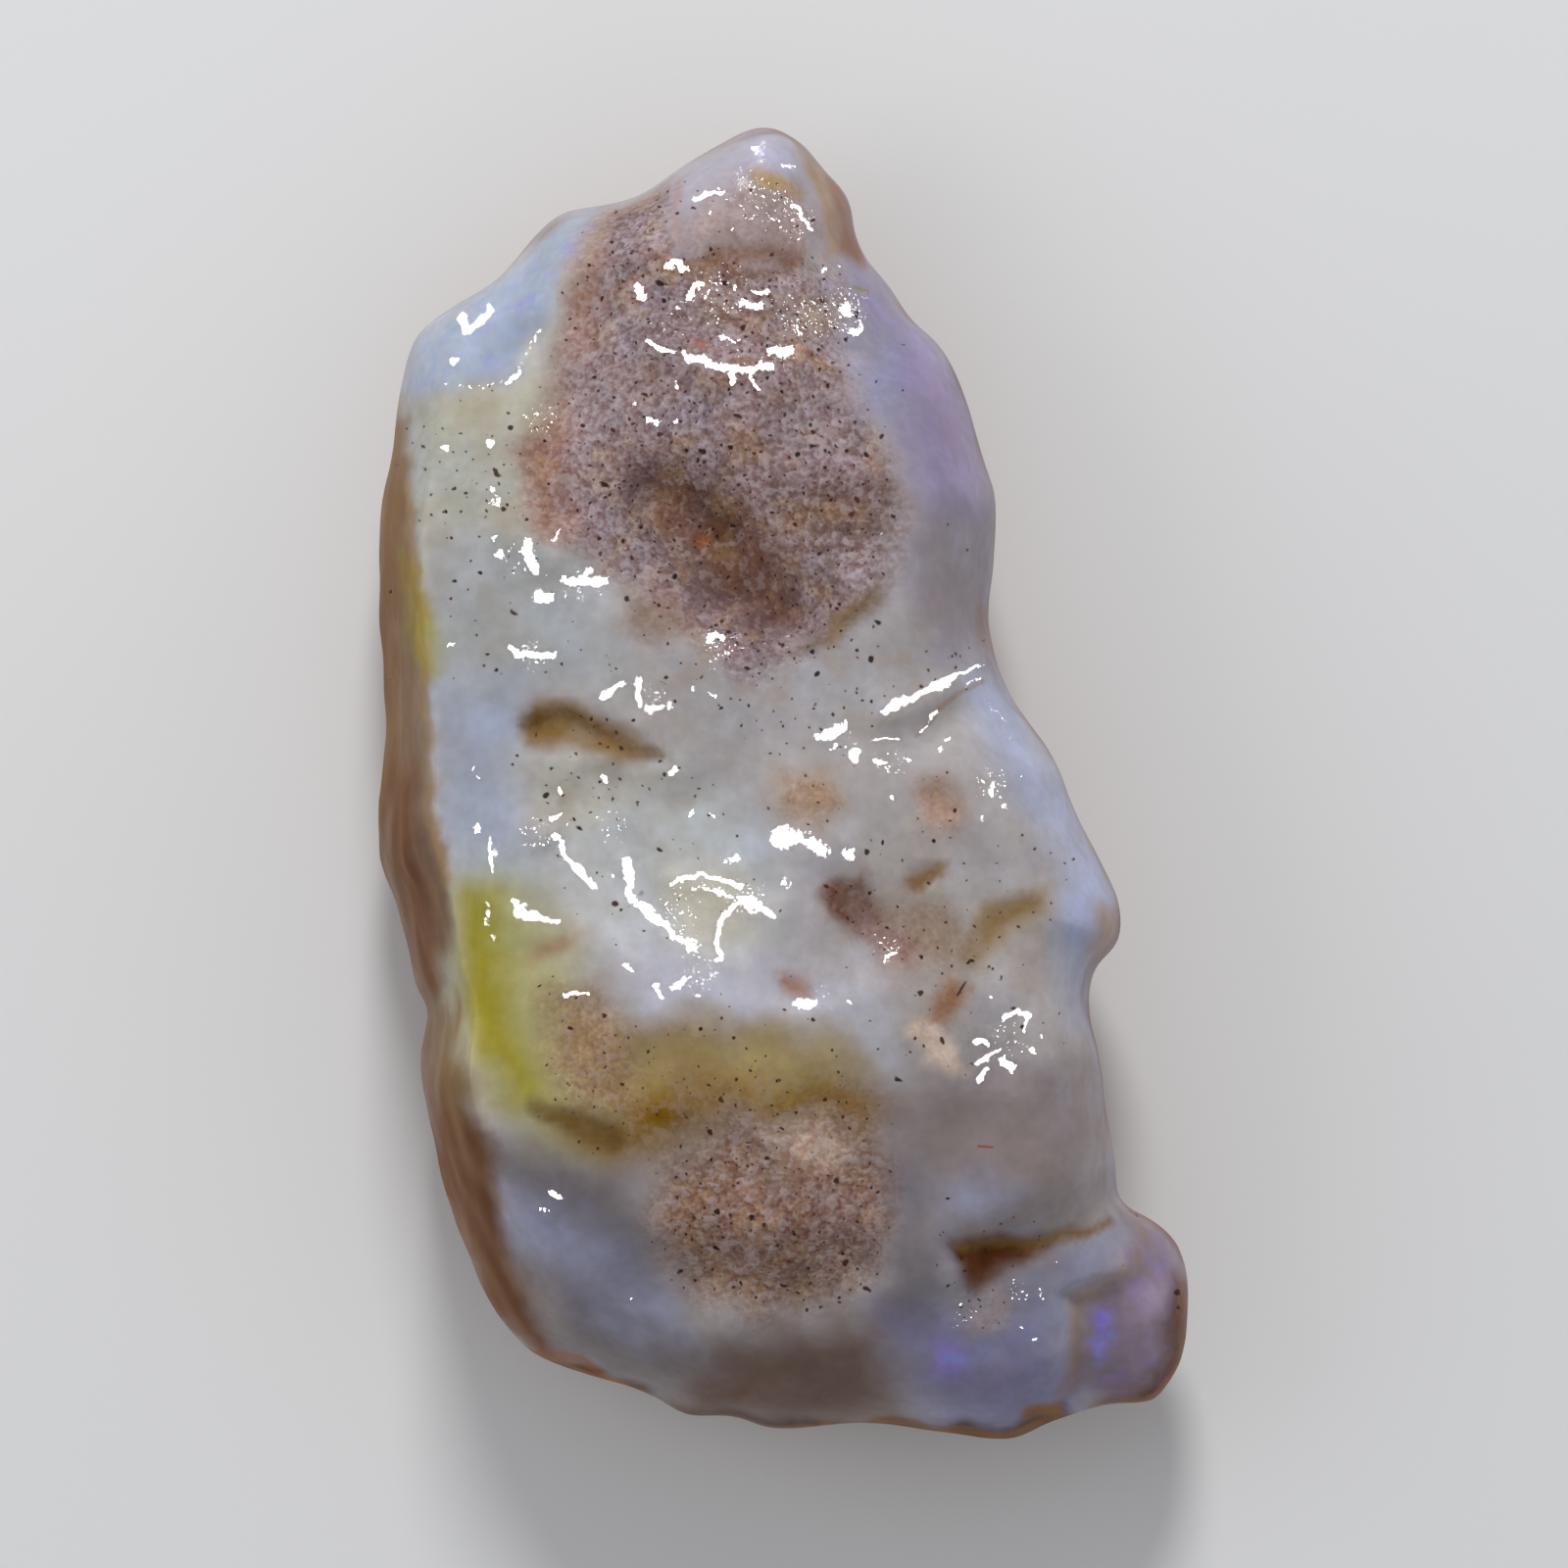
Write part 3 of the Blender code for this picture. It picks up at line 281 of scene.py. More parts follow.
# Tinted patches: colour, edge softness, strength, how sandy, speckled and fiery each is, and corners
TINTS = {
    "left glass": ("acafae", 0.6, 0.8, 0, 0.35, 0, [
        (-6.7, 4.4), (-5.95, 5.0), (-4.8, 4.85), (-3.65, 4.1), (-2.9, 2.8), (-2.75, 1.8), (-4.45, 1.8),
        (-5.2, 1.45), (-6.5, 1.8)]),
    "waist": ("a5a2a4", 0.6, 0.8, 0.1, 0.75, 0, [
        (-2.95, 2.75), (3.95, 2.95), (4.2, 2.05), (1.5, 0.7), (-0.75, 0.7), (-2.05, 1.45)]),
    "left white": ("b0b7c6", 0.8, 0.9, 0, 0, 0, [
        (-6.6, 2.0), (-4.8, 1.8), (-5.0, 0.35), (-4.65, -0.95), (-4.4, -1.9), (-5.55, -1.9), (-6.2, -3.4),
        (-6.35, -1.15)]),
    "middle right": ("b7afab", 0.8, 0.85, 0.1, 0.35, 0, [
        (1.5, -1.0), (5.25, -1.0), (5.45, -3.4), (4.85, -5.65), (1.9, -5.65), (0.95, -3.4)]),
    "under slot": ("c8c5b6", 0.7, 0.8, 0.1, 0.85, 0, [
        (-4.8, 0.5), (-1.85, 0.55), (-0.7, -1.15), (-1.85, -1.55), (-3.35, -1.35), (-4.45, -0.6)]),
    "bowl glass": ("cacdce", 0.5, 0.8, 0, 0.2, 0, [
        (-4.45, -1.0), (-1.85, -0.05), (0.05, -1.0), (0.05, -2.85), (-1.05, -3.4), (-3.35, -3.0),
        (-4.25, -1.9)]),
    "bowl ochre": ("ded2b6", 0.5, 0.55, 0, 0.05, 0, [
        (-2.2, -1.7), (-0.7, -1.55), (-0.5, -3.0), (-1.85, -3.0)]),
    # Part real milky white, part painted sheen: the crest is lightened where the lamp's broad soft
    # highlight lies on the ridge.
    "white crest and sheen": ("d4d4e0", 0.7, 0.7, 0, 0, 0, [
        (-2.95, -3.0), (-0.75, -3.3), (1.9, -3.75), (2.5, -5.45), (1.15, -5.25), (-0.75, -4.7),
        (-2.75, -4.5)]),
    # Part real grey, part painted shade: darkened for the light's fall-off towards the bottom end.
    "shaded smooth grey": ("938482", 0.9, 0.8, 0, 0, 0, [
        (1.5, -5.65), (6.2, -4.9), (6.45, -8.05), (3.8, -8.6), (1.9, -8.25), (1.55, -6.75)]),
    "pale oval": ("abafc9", 0.5, 0.6, 0, 0, 0, [
        (2.9, -7.7), (3.6, -7.3), (4.5, -7.6), (4.4, -8.1), (3.2, -8.2)]),
    "between": ("898185", 0.5, 0.85, 0, 0, 0, [
        (1.6, -6.9), (2.8, -7.2), (3.1, -8.6), (3.2, -9.6), (2.6, -10.4), (1.7, -10.2), (2.1, -8.8)]),
    "right ridge": ("b4bad6", 0.5, 0.8, 0, 0, 0, [
        (3.75, 2.1), (4.35, 2.1), (4.7, 1.1), (5.65, -0.55), (6.45, -2.25), (6.45, -3.0), (5.85, -3.45),
        (5.95, -3.95), (5.6, -4.5), (5.25, -3.4), (5.35, -1.9), (4.5, -0.05), (3.55, 1.05)]),
    "tan bump": ("b38f64", 0.25, 0.7, 0, 0, 0, [
        (6.0, -2.3), (6.65, -2.5), (6.55, -3.0), (6.0, -3.5), (5.8, -3.2)]),
    "lower left": ("6d6262", 0.8, 0.8, 0, 0, 0.1, [
        (-5.55, -6.75), (-2.75, -7.1), (-2.0, -9.55), (-0.85, -11.6), (-2.55, -11.65), (-4.05, -11.05),
        (-5.15, -8.8)]),
    "bottom middle": ("623e21", 0.8, 0.8, 0, 0, 0, [
        (-1.05, -10.45), (1.9, -10.1), (2.5, -12.15), (0.05, -12.4), (-2.05, -12.05)]),
    "bottom right": ("7c799d", 0.7, 0.8, 0, 0, 0.1, [
        (1.9, -9.9), (4.9, -9.9), (5.9, -11.2), (6.0, -12.0), (4.3, -12.5), (3.05, -12.4), (2.3, -11.2)]),
    "violet flash": ("9a80de", 0.25, 0.5, 0, 0, 1, [
        (2.9, -10.7), (3.5, -10.7), (3.55, -11.2), (2.9, -11.25)]),
    "ledge": ("9190a5", 0.35, 0.8, 0, 0, 0.1, [
        (4.26, -9.17), (5.53, -8.57), (6.5, -8.35), (6.72, -8.87), (6.27, -9.39), (5.6, -9.61),
        (5.53, -10.36), (4.93, -10.51), (4.34, -10.06)]),
    "corner": ("92818e", 0.3, 0.95, 0, 0, 0.25, [
        (6.55, -8.15), (7.35, -8.5), (7.85, -9.55), (7.85, -10.1), (7.45, -11.9), (6.35, -11.9),
        (5.6, -11.2), (5.8, -10.1), (6.55, -9.15)]),
    "corner lilac": ("d8bcdc", 0.3, 0.35, 0, 0, 1, [
        (6.7, -9.4), (7.4, -9.3), (7.4, -10.0), (6.8, -10.0)]),
    "corner violet": ("a088ff", 0.18, 0.7, 0, 0, 1, [
        (6.0, -10.1), (6.35, -10.1), (6.35, -10.4), (6.0, -10.45)]),
    "corner blue": ("93a2ee", 0.18, 0.65, 0, 0, 1, [
        (5.9, -10.65), (6.15, -10.6), (6.15, -10.95), (5.9, -10.95)]),
    "shoulder": ("8e83a6", 0.7, 0.9, 0, 0, 0, [
        (1.3, 10.1), (2.1, 9.35), (2.8, 8.6), (3.55, 7.6), (4.1, 5.95), (4.2, 4.45), (4.1, 2.7),
        (3.0, 2.5), (2.45, 3.7), (2.5, 5.2), (2.15, 6.7), (1.8, 7.8), (1.5, 8.75), (1.15, 9.45)]),
    "shoulder pink": ("b29db5", 0.5, 0.5, 0, 0, 0, [
        (2.45, 8.35), (3.05, 7.95), (3.7, 6.7), (3.95, 5.5), (3.35, 5.55), (2.9, 6.7)]),
    "shoulder low": ("9f958a", 0.7, 0.7, 0, 0.1, 0, [(2.5, 5.2), (4.15, 5.2), (4.1, 2.6), (2.45, 2.75)]),
    "slab": ("afb9ca", 0.4, 0.95, 0, 0, 0.4, [
        (-6.95, 8.4), (-6.1, 9.05), (-5.2, 9.65), (-4.45, 10.55), (-3.75, 11.05), (-3.25, 10.95),
        (-3.65, 10.0), (-4.0, 8.75), (-4.4, 7.75), (-5.0, 7.45), (-6.1, 7.35), (-6.85, 7.2),
        (-7.15, 7.55)]),
    "cream band": ("b2b2a4", 0.5, 0.9, 0.1, 0.6, 0, [
        (-7.45, 6.95), (-6.85, 7.3), (-4.8, 7.35), (-4.1, 8.45), (-3.85, 7.45), (-4.4, 6.25),
        (-4.75, 5.2), (-5.0, 4.45), (-5.95, 5.0), (-6.7, 4.25), (-7.35, 4.85)]),
    "cream arc": ("d1cab3", 0.35, 0.75, 0, 0.3, 0, [
        (-6.5, 7.2), (-5.4, 7.5), (-4.7, 8.35), (-4.2, 9.1), (-3.7, 10.1), (-3.3, 10.8), (-3.5, 9.8),
        (-4.04, 8.7), (-4.5, 7.6), (-4.86, 6.86), (-6.1, 6.5)]),
    "neck": ("a28679", 0.5, 0.9, 0.4, 0.3, 0, [
        (-3.45, 10.95), (-2.05, 11.5), (-2.0, 10.0), (-2.95, 9.45), (-3.7, 8.65), (-3.9, 9.3),
        (-3.6, 10.3)]),
    "sand": ("95868b", 0.45, 1, 1, 1, 0, [
        (-3.15, 10.9), (-1.85, 11.2), (-1.8, 10.0), (0.0, 9.95), (1.05, 9.55), (1.25, 8.55), (1.35, 7.45),
        (1.85, 6.5), (2.25, 5.2), (1.9, 3.7), (1.15, 2.95), (0.0, 2.2), (-0.75, 2.05), (-1.85, 2.95),
        (-2.8, 3.7), (-3.9, 4.4), (-4.75, 5.15), (-4.8, 6.15), (-4.05, 7.05), (-3.85, 8.55),
        (-3.5, 9.85)]),
    "band edge": ("a67a60", 0.5, 0.7, 0.6, 0.3, 0, [
        (-3.65, 10.4), (-3.85, 8.75), (-4.4, 7.15), (-4.95, 6.25), (-4.75, 4.85), (-4.0, 4.45),
        (-4.25, 6.15), (-3.65, 7.45), (-3.5, 8.75), (-3.35, 10.0)]),
    "pale knob left": ("a99a9f", 0.5, 0.7, 1, 0.5, 0, [
        (-3.9, 8.35), (-2.95, 8.55), (-2.45, 7.6), (-2.75, 6.7), (-3.7, 6.7), (-4.1, 7.45)]),
    "pale knob right": ("b09f91", 0.3, 0.7, 0.6, 0.3, 0, [
        (0.0, 9.0), (0.75, 9.2), (1.15, 8.75), (0.75, 8.35), (0.1, 8.45)]),
    "shoulder blue": ("9694ad", 0.5, 0.85, 0.15, 0.3, 0, [
        (1.3, 8.6), (2.2, 8.5), (2.5, 7.05), (1.55, 6.85)]),
    "dark right": ("684e38", 0.5, 0.65, 0.8, 0.7, 0, [
        (0.0, 5.55), (0.95, 5.7), (2.0, 5.4), (2.2, 4.7), (1.5, 4.25), (0.55, 4.45)]),
    "trough": ("6c431e", 0.5, 0.85, 0.5, 0.8, 0, [
        (-2.75, 5.7), (-1.85, 5.85), (-0.9, 5.45), (-0.15, 4.45), (0.6, 3.35), (0.05, 2.95), (-0.75, 3.3),
        (-1.45, 4.05), (-2.45, 4.65)]),
    "trough foot": ("5d3e36", 0.5, 0.7, 0.3, 0.4, 0, [
        (-1.1, 4.4), (0.0, 3.7), (0.45, 2.8), (-0.35, 2.55), (-1.3, 3.3), (-1.85, 4.05)]),
    "orange spot": ("b8662a", 0.12, 0.6, 0, 0, 0, [
        (-1.66, 8.28), (-1.5, 8.32), (-1.42, 8.22), (-1.56, 8.16)]),
    "orange fleck": ("be6e1e", 0.1, 0.8, 0, 0, 0, [
        (-1.6, 4.62), (-1.42, 4.62), (-1.42, 4.48), (-1.6, 4.48)]),
    "hollow under lobe": ("6a4a32", 0.25, 0.7, 0.5, 0.7, 0, [
        (-1.75, 9.95), (-0.75, 9.8), (0.25, 10.05), (0.4, 9.65), (-0.75, 9.45), (-1.55, 9.55)]),
    "ochre hollow": ("7f5c33", 0.4, 0.65, 0.4, 0.3, 0, [
        (-2.95, 3.5), (-1.85, 3.6), (-1.6, 2.95), (-2.2, 2.5), (-2.9, 2.8)]),
    "brown arc": ("6c5022", 0.2, 0.75, 0.2, 0.6, 0, [
        (0.35, 2.4), (0.95, 3.05), (1.75, 3.45), (1.2, 2.9), (0.6, 2.4)]),
    "tip lobe": ("b5afbc", 0.35, 0.95, 0, 0.05, 0, [
        (-2.05, 11.35), (-1.75, 11.75), (-0.9, 12.3), (-0.25, 12.6), (0.3, 12.35), (0.65, 11.7),
        (0.85, 10.95), (0.95, 10.15), (0.0, 9.95), (-1.85, 10.0), (-2.1, 10.6)]),
    "lobe core": ("a89082", 0.4, 0.7, 0.6, 0.5, 0, [
        (-1.3, 11.15), (-0.55, 11.55), (0.25, 11.35), (0.7, 10.5), (0.4, 10.0), (-1.1, 9.95),
        (-1.75, 10.2), (-1.6, 10.8)]),
    "lobe ochre": ("c09a54", 0.15, 0.7, 0, 0, 0, [
        (-0.45, 11.52), (0.05, 11.55), (0.1, 11.32), (-0.3, 11.3)]),
    "yellow strip": ("a3772c", 0.3, 0.8, 0, 0, 0, [
        (0.55, 12.0), (0.95, 11.5), (1.15, 10.0), (0.85, 10.0), (0.75, 10.9)]),
    "pink bump": ("996e58", 0.15, 0.9, 0, 0, 0, [
        (1.0, 11.65), (1.35, 11.4), (1.8, 9.95), (1.45, 9.85), (1.15, 10.2), (1.0, 11.05)]),
    "slot": ("8a6a30", 0.18, 0.95, 0.1, 0.5, 0, [
        (-5.0, 1.22), (-4.75, 1.45), (-4.4, 1.55), (-3.7, 1.5), (-3.4, 1.28), (-2.75, 1.02), (-2.1, 0.5),
        (-2.7, 0.46), (-3.5, 0.58), (-4.25, 0.62), (-4.85, 0.7)]),
    "brown spots one": ("ae865a", 0.4, 0.8, 0.6, 1, 0, [
        (-0.05, 0.15), (0.95, 0.2), (1.15, -0.55), (0.75, -0.85), (0.0, -0.7)]),
    "right of pit": ("90765b", 0.4, 0.7, 0.4, 0.3, 0, [
        (1.95, -2.35), (2.6, -2.15), (3.3, -2.5), (3.55, -3.2), (3.0, -3.55), (2.3, -3.2)]),
    "brown spots two": ("ba9481", 0.35, 0.8, 0.6, 1, 0, [
        (2.45, 0.05), (3.2, 0.25), (3.45, -0.55), (3.2, -1.0), (2.6, -0.85)]),
    "middle pit": ("6e4330", 0.18, 0.9, 0.4, 0.5, 0, [
        (0.72, -2.12), (0.97, -1.85), (1.51, -1.62), (1.8, -2.1), (2.1, -2.7), (2.75, -3.03), (2.3, -3.2),
        (1.67, -3.03), (1.01, -2.53)]),
    "pit foot": ("aa8e86", 0.3, 0.6, 0.4, 0.6, 0, [
        (1.6, -2.5), (2.4, -2.7), (2.5, -3.4), (1.9, -3.5), (1.4, -2.9)]),
    "ochre dash": ("96692a", 0.18, 0.8, 0, 0.2, 0, [
        (2.4, -1.95), (2.55, -2.0), (2.9, -1.6), (2.75, -1.55)]),
    "ochre pit": ("a27a1e", 0.28, 0.8, 0.1, 0.5, 0, [
        (3.7, -2.85), (3.95, -2.35), (4.9, -2.1), (5.0, -2.45), (4.3, -2.75), (3.8, -3.25)]),
    "flake": ("e2ccba", 0.12, 0.95, 0.3, 0.1, 0, [
        (2.45, -4.55), (2.75, -4.4), (3.15, -4.75), (3.5, -5.45), (3.2, -5.5), (2.7, -5.2)]),
    "flake brown": ("a4744c", 0.2, 0.85, 0.3, 0.4, 0, [
        (2.75, -4.45), (2.85, -3.95), (3.3, -3.6), (3.6, -3.65), (3.45, -4.05), (3.1, -4.6)]),
    "tan pit": ("bf804e", 0.18, 0.8, 0, 0.1, 0, [
        (0.02, -3.55), (0.35, -3.6), (0.5, -3.9), (0.15, -3.95)]),
    "olive": ("8b6511", 0.7, 1, 0.4, 0.6, 0, [
        (-3.65, -4.9), (-1.8, -4.5), (0.8, -4.9), (1.9, -6.0), (1.55, -6.75), (-0.7, -6.4), (-2.2, -7.1),
        (-3.35, -6.95)]),
    # Part real pale olive-tan, part painted light: lightened to offset the shade on the slope below the
    # crest.
    "lit crest foot": ("b9a572", 0.6, 0.8, 0, 0.4, 0, [
        (-3.0, -4.6), (0.9, -4.5), (1.7, -5.3), (0.6, -5.8), (-2.6, -5.7)]),
    "olive dark": ("86701a", 0.6, 0.8, 0, 0.3, 0, [
        (-4.9, -5.8), (-4.1, -5.7), (-3.2, -6.2), (-2.8, -6.8), (-3.4, -7.1), (-4.4, -6.7)]),
    "yellow zone": ("c3be84", 0.9, 0.9, 0, 0, 0, [
        (-6.15, -1.9), (-5.15, -1.65), (-4.4, -2.45), (-3.65, -3.95), (-2.9, -5.65), (-3.65, -6.55),
        (-4.8, -6.2), (-5.75, -5.45), (-6.25, -4.35)]),
    "yellow vein": ("a99a08", 0.55, 0.95, 0, 0, 0, [
        (-5.85, -1.95), (-5.35, -1.95), (-5.25, -3.0), (-5.05, -4.65), (-4.4, -5.8), (-4.95, -6.0),
        (-5.75, -4.9), (-6.0, -3.4)]),
    "sandy bumps": ("a8876a", 0.5, 0.8, 0.7, 0.5, 0, [
        (-4.45, -3.95), (-3.3, -3.75), (-2.75, -4.9), (-2.9, -6.4), (-3.85, -6.2), (-4.4, -5.25)]),
    "tan dash": ("cc9e7a", 0.2, 0.7, 0, 0.1, 0, [
        (-4.75, -3.3), (-4.0, -2.85), (-4.1, -3.15), (-4.65, -3.45)]),
    "olive slit": ("774200", 0.3, 0.7, 0, 0.4, 0, [
        (-4.5, -6.1), (-3.9, -6.15), (-3.5, -6.4), (-3.0, -6.7), (-3.05, -6.95), (-3.65, -6.85),
        (-4.15, -6.5)]),
    "lower pale": ("c7ceef", 0.6, 0.4, 0, 0, 0, [
        (-5.2, -7.6), (-3.15, -8.5), (-1.9, -10.2), (-2.7, -10.5), (-4.4, -9.2), (-5.4, -8.4)]),
    "low sand": ("937a6c", 0.5, 0.95, 1, 0.75, 0, [
        (-2.05, -7.1), (-0.7, -6.4), (1.0, -6.2), (2.0, -7.1), (2.05, -8.6), (1.15, -9.75), (-0.3, -10.1),
        (-1.8, -9.55), (-2.45, -8.4)]),
    "low sand dark": ("8e7574", 0.6, 0.5, 1, 1, 0, [
        (-0.75, -7.7), (0.75, -7.3), (1.9, -7.7), (1.75, -8.8), (0.45, -9.15), (-0.7, -8.6)]),
    "low sand pale": ("d7c1b2", 0.4, 0.9, 0.6, 0, 0, [
        (-0.4, -6.4), (0.9, -6.3), (1.2, -7.0), (0.2, -7.2)]),
    "round the slit": ("8f8a92", 0.5, 0.85, 0, 1, 0, [
        (3.0, -8.3), (4.2, -8.1), (5.2, -8.2), (5.4, -8.9), (4.6, -9.4), (4.4, -10.0), (3.7, -10.3),
        (3.3, -9.7), (3.0, -9.0)]),
    "slit": ("71420a", 0.18, 0.95, 0, 0.5, 0, [
        (3.25, -8.6), (3.75, -8.5), (4.5, -8.5), (6.2, -8.25), (6.25, -8.4), (4.85, -8.75), (4.3, -9.15),
        (3.95, -9.55), (3.65, -9.45)]),
    "slit heart": ("5a2a04", 0.26, 0.97, 0, 0.15, 0, [
        (3.2, -8.6), (3.95, -8.55), (4.65, -8.7), (4.2, -9.25), (3.85, -9.55), (3.5, -9.25)]),
    "crumbs": ("b5a7ab", 0.15, 0.7, 0.5, 1, 0, [
        (3.45, -9.65), (4.1, -9.6), (4.35, -10.1), (3.95, -10.25), (3.55, -10.05)]),
    # Painted shadow in the crease where the corner lobe meets the face.
    "corner crease shadow": ("93725e", 0.2, 0.6, 0, 0, 0, [
        (5.65, -9.75), (6.4, -9.5), (5.8, -10.0), (5.65, -11.6), (5.45, -11.6)]),
    "corner rim": ("5f3309", 0.35, 0.85, 0.2, 0.1, 0, [
        (7.5, -9.4), (7.9, -9.6), (7.9, -10.4), (7.5, -11.6), (7.0, -12.0), (6.1, -12.0), (6.6, -11.55),
        (7.1, -11.1), (7.4, -10.4)]),
    # Part real orange-brown edge, part painted shade: darkened where the edge turns away from the lamp.
    "bottom edge": ("321202", 0.2, 0.9, 0, 0, 0, [
        (-4.6, -11.1), (-2.6, -11.62), (-0.4, -12.1), (2.0, -12.15), (4.4, -12.2), (5.4, -11.75),
        (5.6, -12.2), (4.3, -12.7), (0.0, -12.6), (-3.0, -12.0)]),
    "brown flake": ("412006", 0.12, 0.95, 0, 0, 0, [
        (-4.3, -11.15), (-3.4, -11.15), (-2.5, -11.55), (-3.0, -11.75)]),
    # Real brown skin, darkened as painted shade where the flank turns away from the lamp.
    "flank": ("876741", 0.2, 0.95, 0, 0.1, 0, [
        (-7.8, 6.9), (-7.1, 6.85), (-7.0, 5.2), (-6.7, 3.7), (-6.55, 1.85), (-6.65, 0.0), (-6.5, -0.95),
        (-6.25, -1.9), (-6.2, -3.0), (-6.65, -4.05), (-6.85, -4.2), (-7.9, -1.15), (-7.9, 5.6)]),
    "flank inner": ("9c8b76", 0.2, 0.9, 0, 0.05, 0, [
        (-7.15, 5.2), (-6.87, 5.2), (-6.57, 2.78), (-6.63, 0.92), (-6.5, -0.94), (-6.27, -2.99),
        (-6.72, -2.99), (-6.96, -0.94), (-7.24, 0.92), (-7.2, 2.78)]),
    # Real brown skin, darkened as painted shade where the flank turns away from the lamp.
    "flank low": ("5e2806", 0.5, 0.8, 0, 0, 0, [
        (-7.8, 0.35), (-6.85, 0.2), (-6.7, -1.15), (-6.35, -2.25), (-6.3, -3.0), (-6.7, -4.0),
        (-6.95, -4.0), (-7.85, -1.3)]),
    "yellow streak": ("aea524", 0.3, 0.85, 0, 0, 0, [
        (-7.2, 4.25), (-6.85, 4.1), (-6.55, 2.95), (-6.45, 2.05), (-6.7, 2.05), (-7.0, 2.95),
        (-7.15, 3.7)]),
    # Real brown skin, darkened as painted shade where the flank turns away from the lamp.
    "lower flank": ("6e3e14", 0.35, 0.95, 0, 0, 0, [
        (-6.85, -4.1), (-6.4, -4.5), (-6.0, -5.65), (-5.55, -6.55), (-5.15, -8.6), (-4.2, -11.05),
        (-4.5, -11.1), (-5.65, -9.9), (-6.8, -7.1), (-7.0, -5.25)]),
    "lower flank grey": ("8d7547", 0.3, 0.8, 0, 0, 0, [
        (-6.85, -4.05), (-6.45, -4.15), (-6.1, -4.85), (-5.8, -5.95), (-6.1, -6.35), (-6.6, -5.6)]),
}
TAN_PATCHES = ("flank", "lower flank", "corner rim", "bottom edge")
# How far the patches and strokes wander, and how their edges fray, with the length of each
TINT_WAVER = (0.22, 0.8)
TINT_FRAY = (0.09, 0.28)

# Narrow stains, stuck fibres and lines of painted shade: colour, half width, strength, path
STROKES = {
    "flank line": ("b08a60", 0.12, 0.4, [
        (-7.06, 5.58), (-7.02, 4.68), (-6.91, 3.64), (-6.61, 2.22), (-6.68, 1.7), (-6.57, 0.81),
        (-6.61, -0.08), (-6.53, -1.13), (-6.31, -1.87)]),
    "waist crack": ("a07850", 0.05, 0.4, [(3.0, 1.41), (3.37, 1.7), (3.82, 1.93)]),
    "waist crack end": ("b09070", 0.04, 0.45, [(2.55, 0.88), (2.92, 1.26)]),
    "brown arc": ("86662e", 0.15, 0.5, [(0.95, 2.6), (1.14, 2.97), (1.43, 3.23), (1.73, 3.42)]),
    "ochre dash": ("8a6024", 0.14, 0.7, [(2.62, -1.91), (2.81, -1.72), (2.96, -1.57)]),
    "ochre pit": ("8a6a24", 0.2, 0.5, [
        (3.52, -3.14), (3.74, -2.88), (3.97, -2.54), (4.34, -2.35), (4.67, -2.28)]),
    "dark lint": ("2a1008", 0.02, 0.9, [(3.33, -3.97), (3.48, -3.73)]),
    "red lint": ("a83420", 0.02, 0.8, [(3.73, -6.82), (4.0, -6.84)]),
    "olive slit": ("6a4a08", 0.2, 0.55, [(-4.6, -6.02), (-4.0, -6.28), (-3.5, -6.58), (-3.08, -6.8)]),
    "slit heart": ("5a2c06", 0.19, 0.85, [(3.48, -8.8), (3.89, -8.94), (4.26, -8.76)]),
    "slit": ("8a7238", 0.1, 0.5, [
        (3.37, -8.66), (4.11, -8.68), (4.93, -8.53), (5.53, -8.42), (6.24, -8.33)]),
    # Painted shade along the crease and step round the corner lobe.
    "lobe boundary shade": ("9a8068", 0.12, 0.35, [
        (6.5, -8.05), (6.72, -8.57), (6.68, -9.09), (6.27, -9.47), (5.6, -9.65), (5.6, -10.21),
        (5.53, -10.95), (5.23, -11.92)]),
    "lobe rim": ("9c6640", 0.1, 0.3, [
        (7.65, -9.32), (7.73, -10.06), (7.61, -10.81), (7.24, -11.48), (6.94, -11.81)]),
    "lobe foot": ("9c6a30", 0.12, 0.75, [(4.71, -12.01), (5.23, -11.92)]),
    "bottom edge right": ("8c6038", 0.08, 0.65, [
        (0.76, -12.18), (2.62, -12.2), (4.34, -12.48), (4.93, -12.22)]),
    "brown flake": ("a06a48", 0.1, 0.7, [(-4.64, -10.95), (-3.74, -11.07), (-3.0, -11.4)]),
    "bottom edge left": ("8a6040", 0.07, 0.6, [
        (-4.41, -11.12), (-2.7, -11.59), (-2.25, -11.96), (-0.54, -12.22), (0.58, -12.26)]),
    "lobe ochre": ("b8923c", 0.14, 0.45, [(-0.43, 11.57), (-0.06, 11.35), (0.32, 11.16)]),
    "lobe crease": ("b08a80", 0.08, 0.5, [(-1.92, 11.38), (-1.99, 10.71), (-1.77, 10.27)]),
    "hollow under lobe": ("885a30", 0.16, 0.5, [
        (-1.25, 9.86), (-0.58, 10.03), (-0.06, 10.12), (0.32, 9.89)]),
    "olive fleck": ("9a8a20", 0.04, 0.6, [(1.43, 9.41), (1.66, 9.34)]),
    # Painted shade of the slot's upper wall, which faces away from the lamp, over its brown stain.
    "slot edge shade": ("5e3a08", 0.12, 0.5, [
        (-4.9, 1.11), (-4.52, 1.33), (-4.0, 1.33), (-3.33, 1.03), (-2.29, 0.55)]),
}
# A stroke with a smaller half width keeps its exact place
FINE_LINE = 0.06

# Dark specks: cells per millimetre, smallest and largest radius, stretch, turn in radians, share of cells
SPECK_SETS = [
    (1.5, 0.018, 0.058, 1.0, 0.4, 0.8), (2.6, 0.014, 0.038, 1.0, 1.1, 0.8),
    (1.3, 0.018, 0.050, 0.5, 2.1, 0.5), (3.6, 0.010, 0.028, 1.0, 2.7, 0.9),
]

# The studio is in metres
FLOOR_SIZE = 3.0
FLOOR_HEIGHT = -0.00002
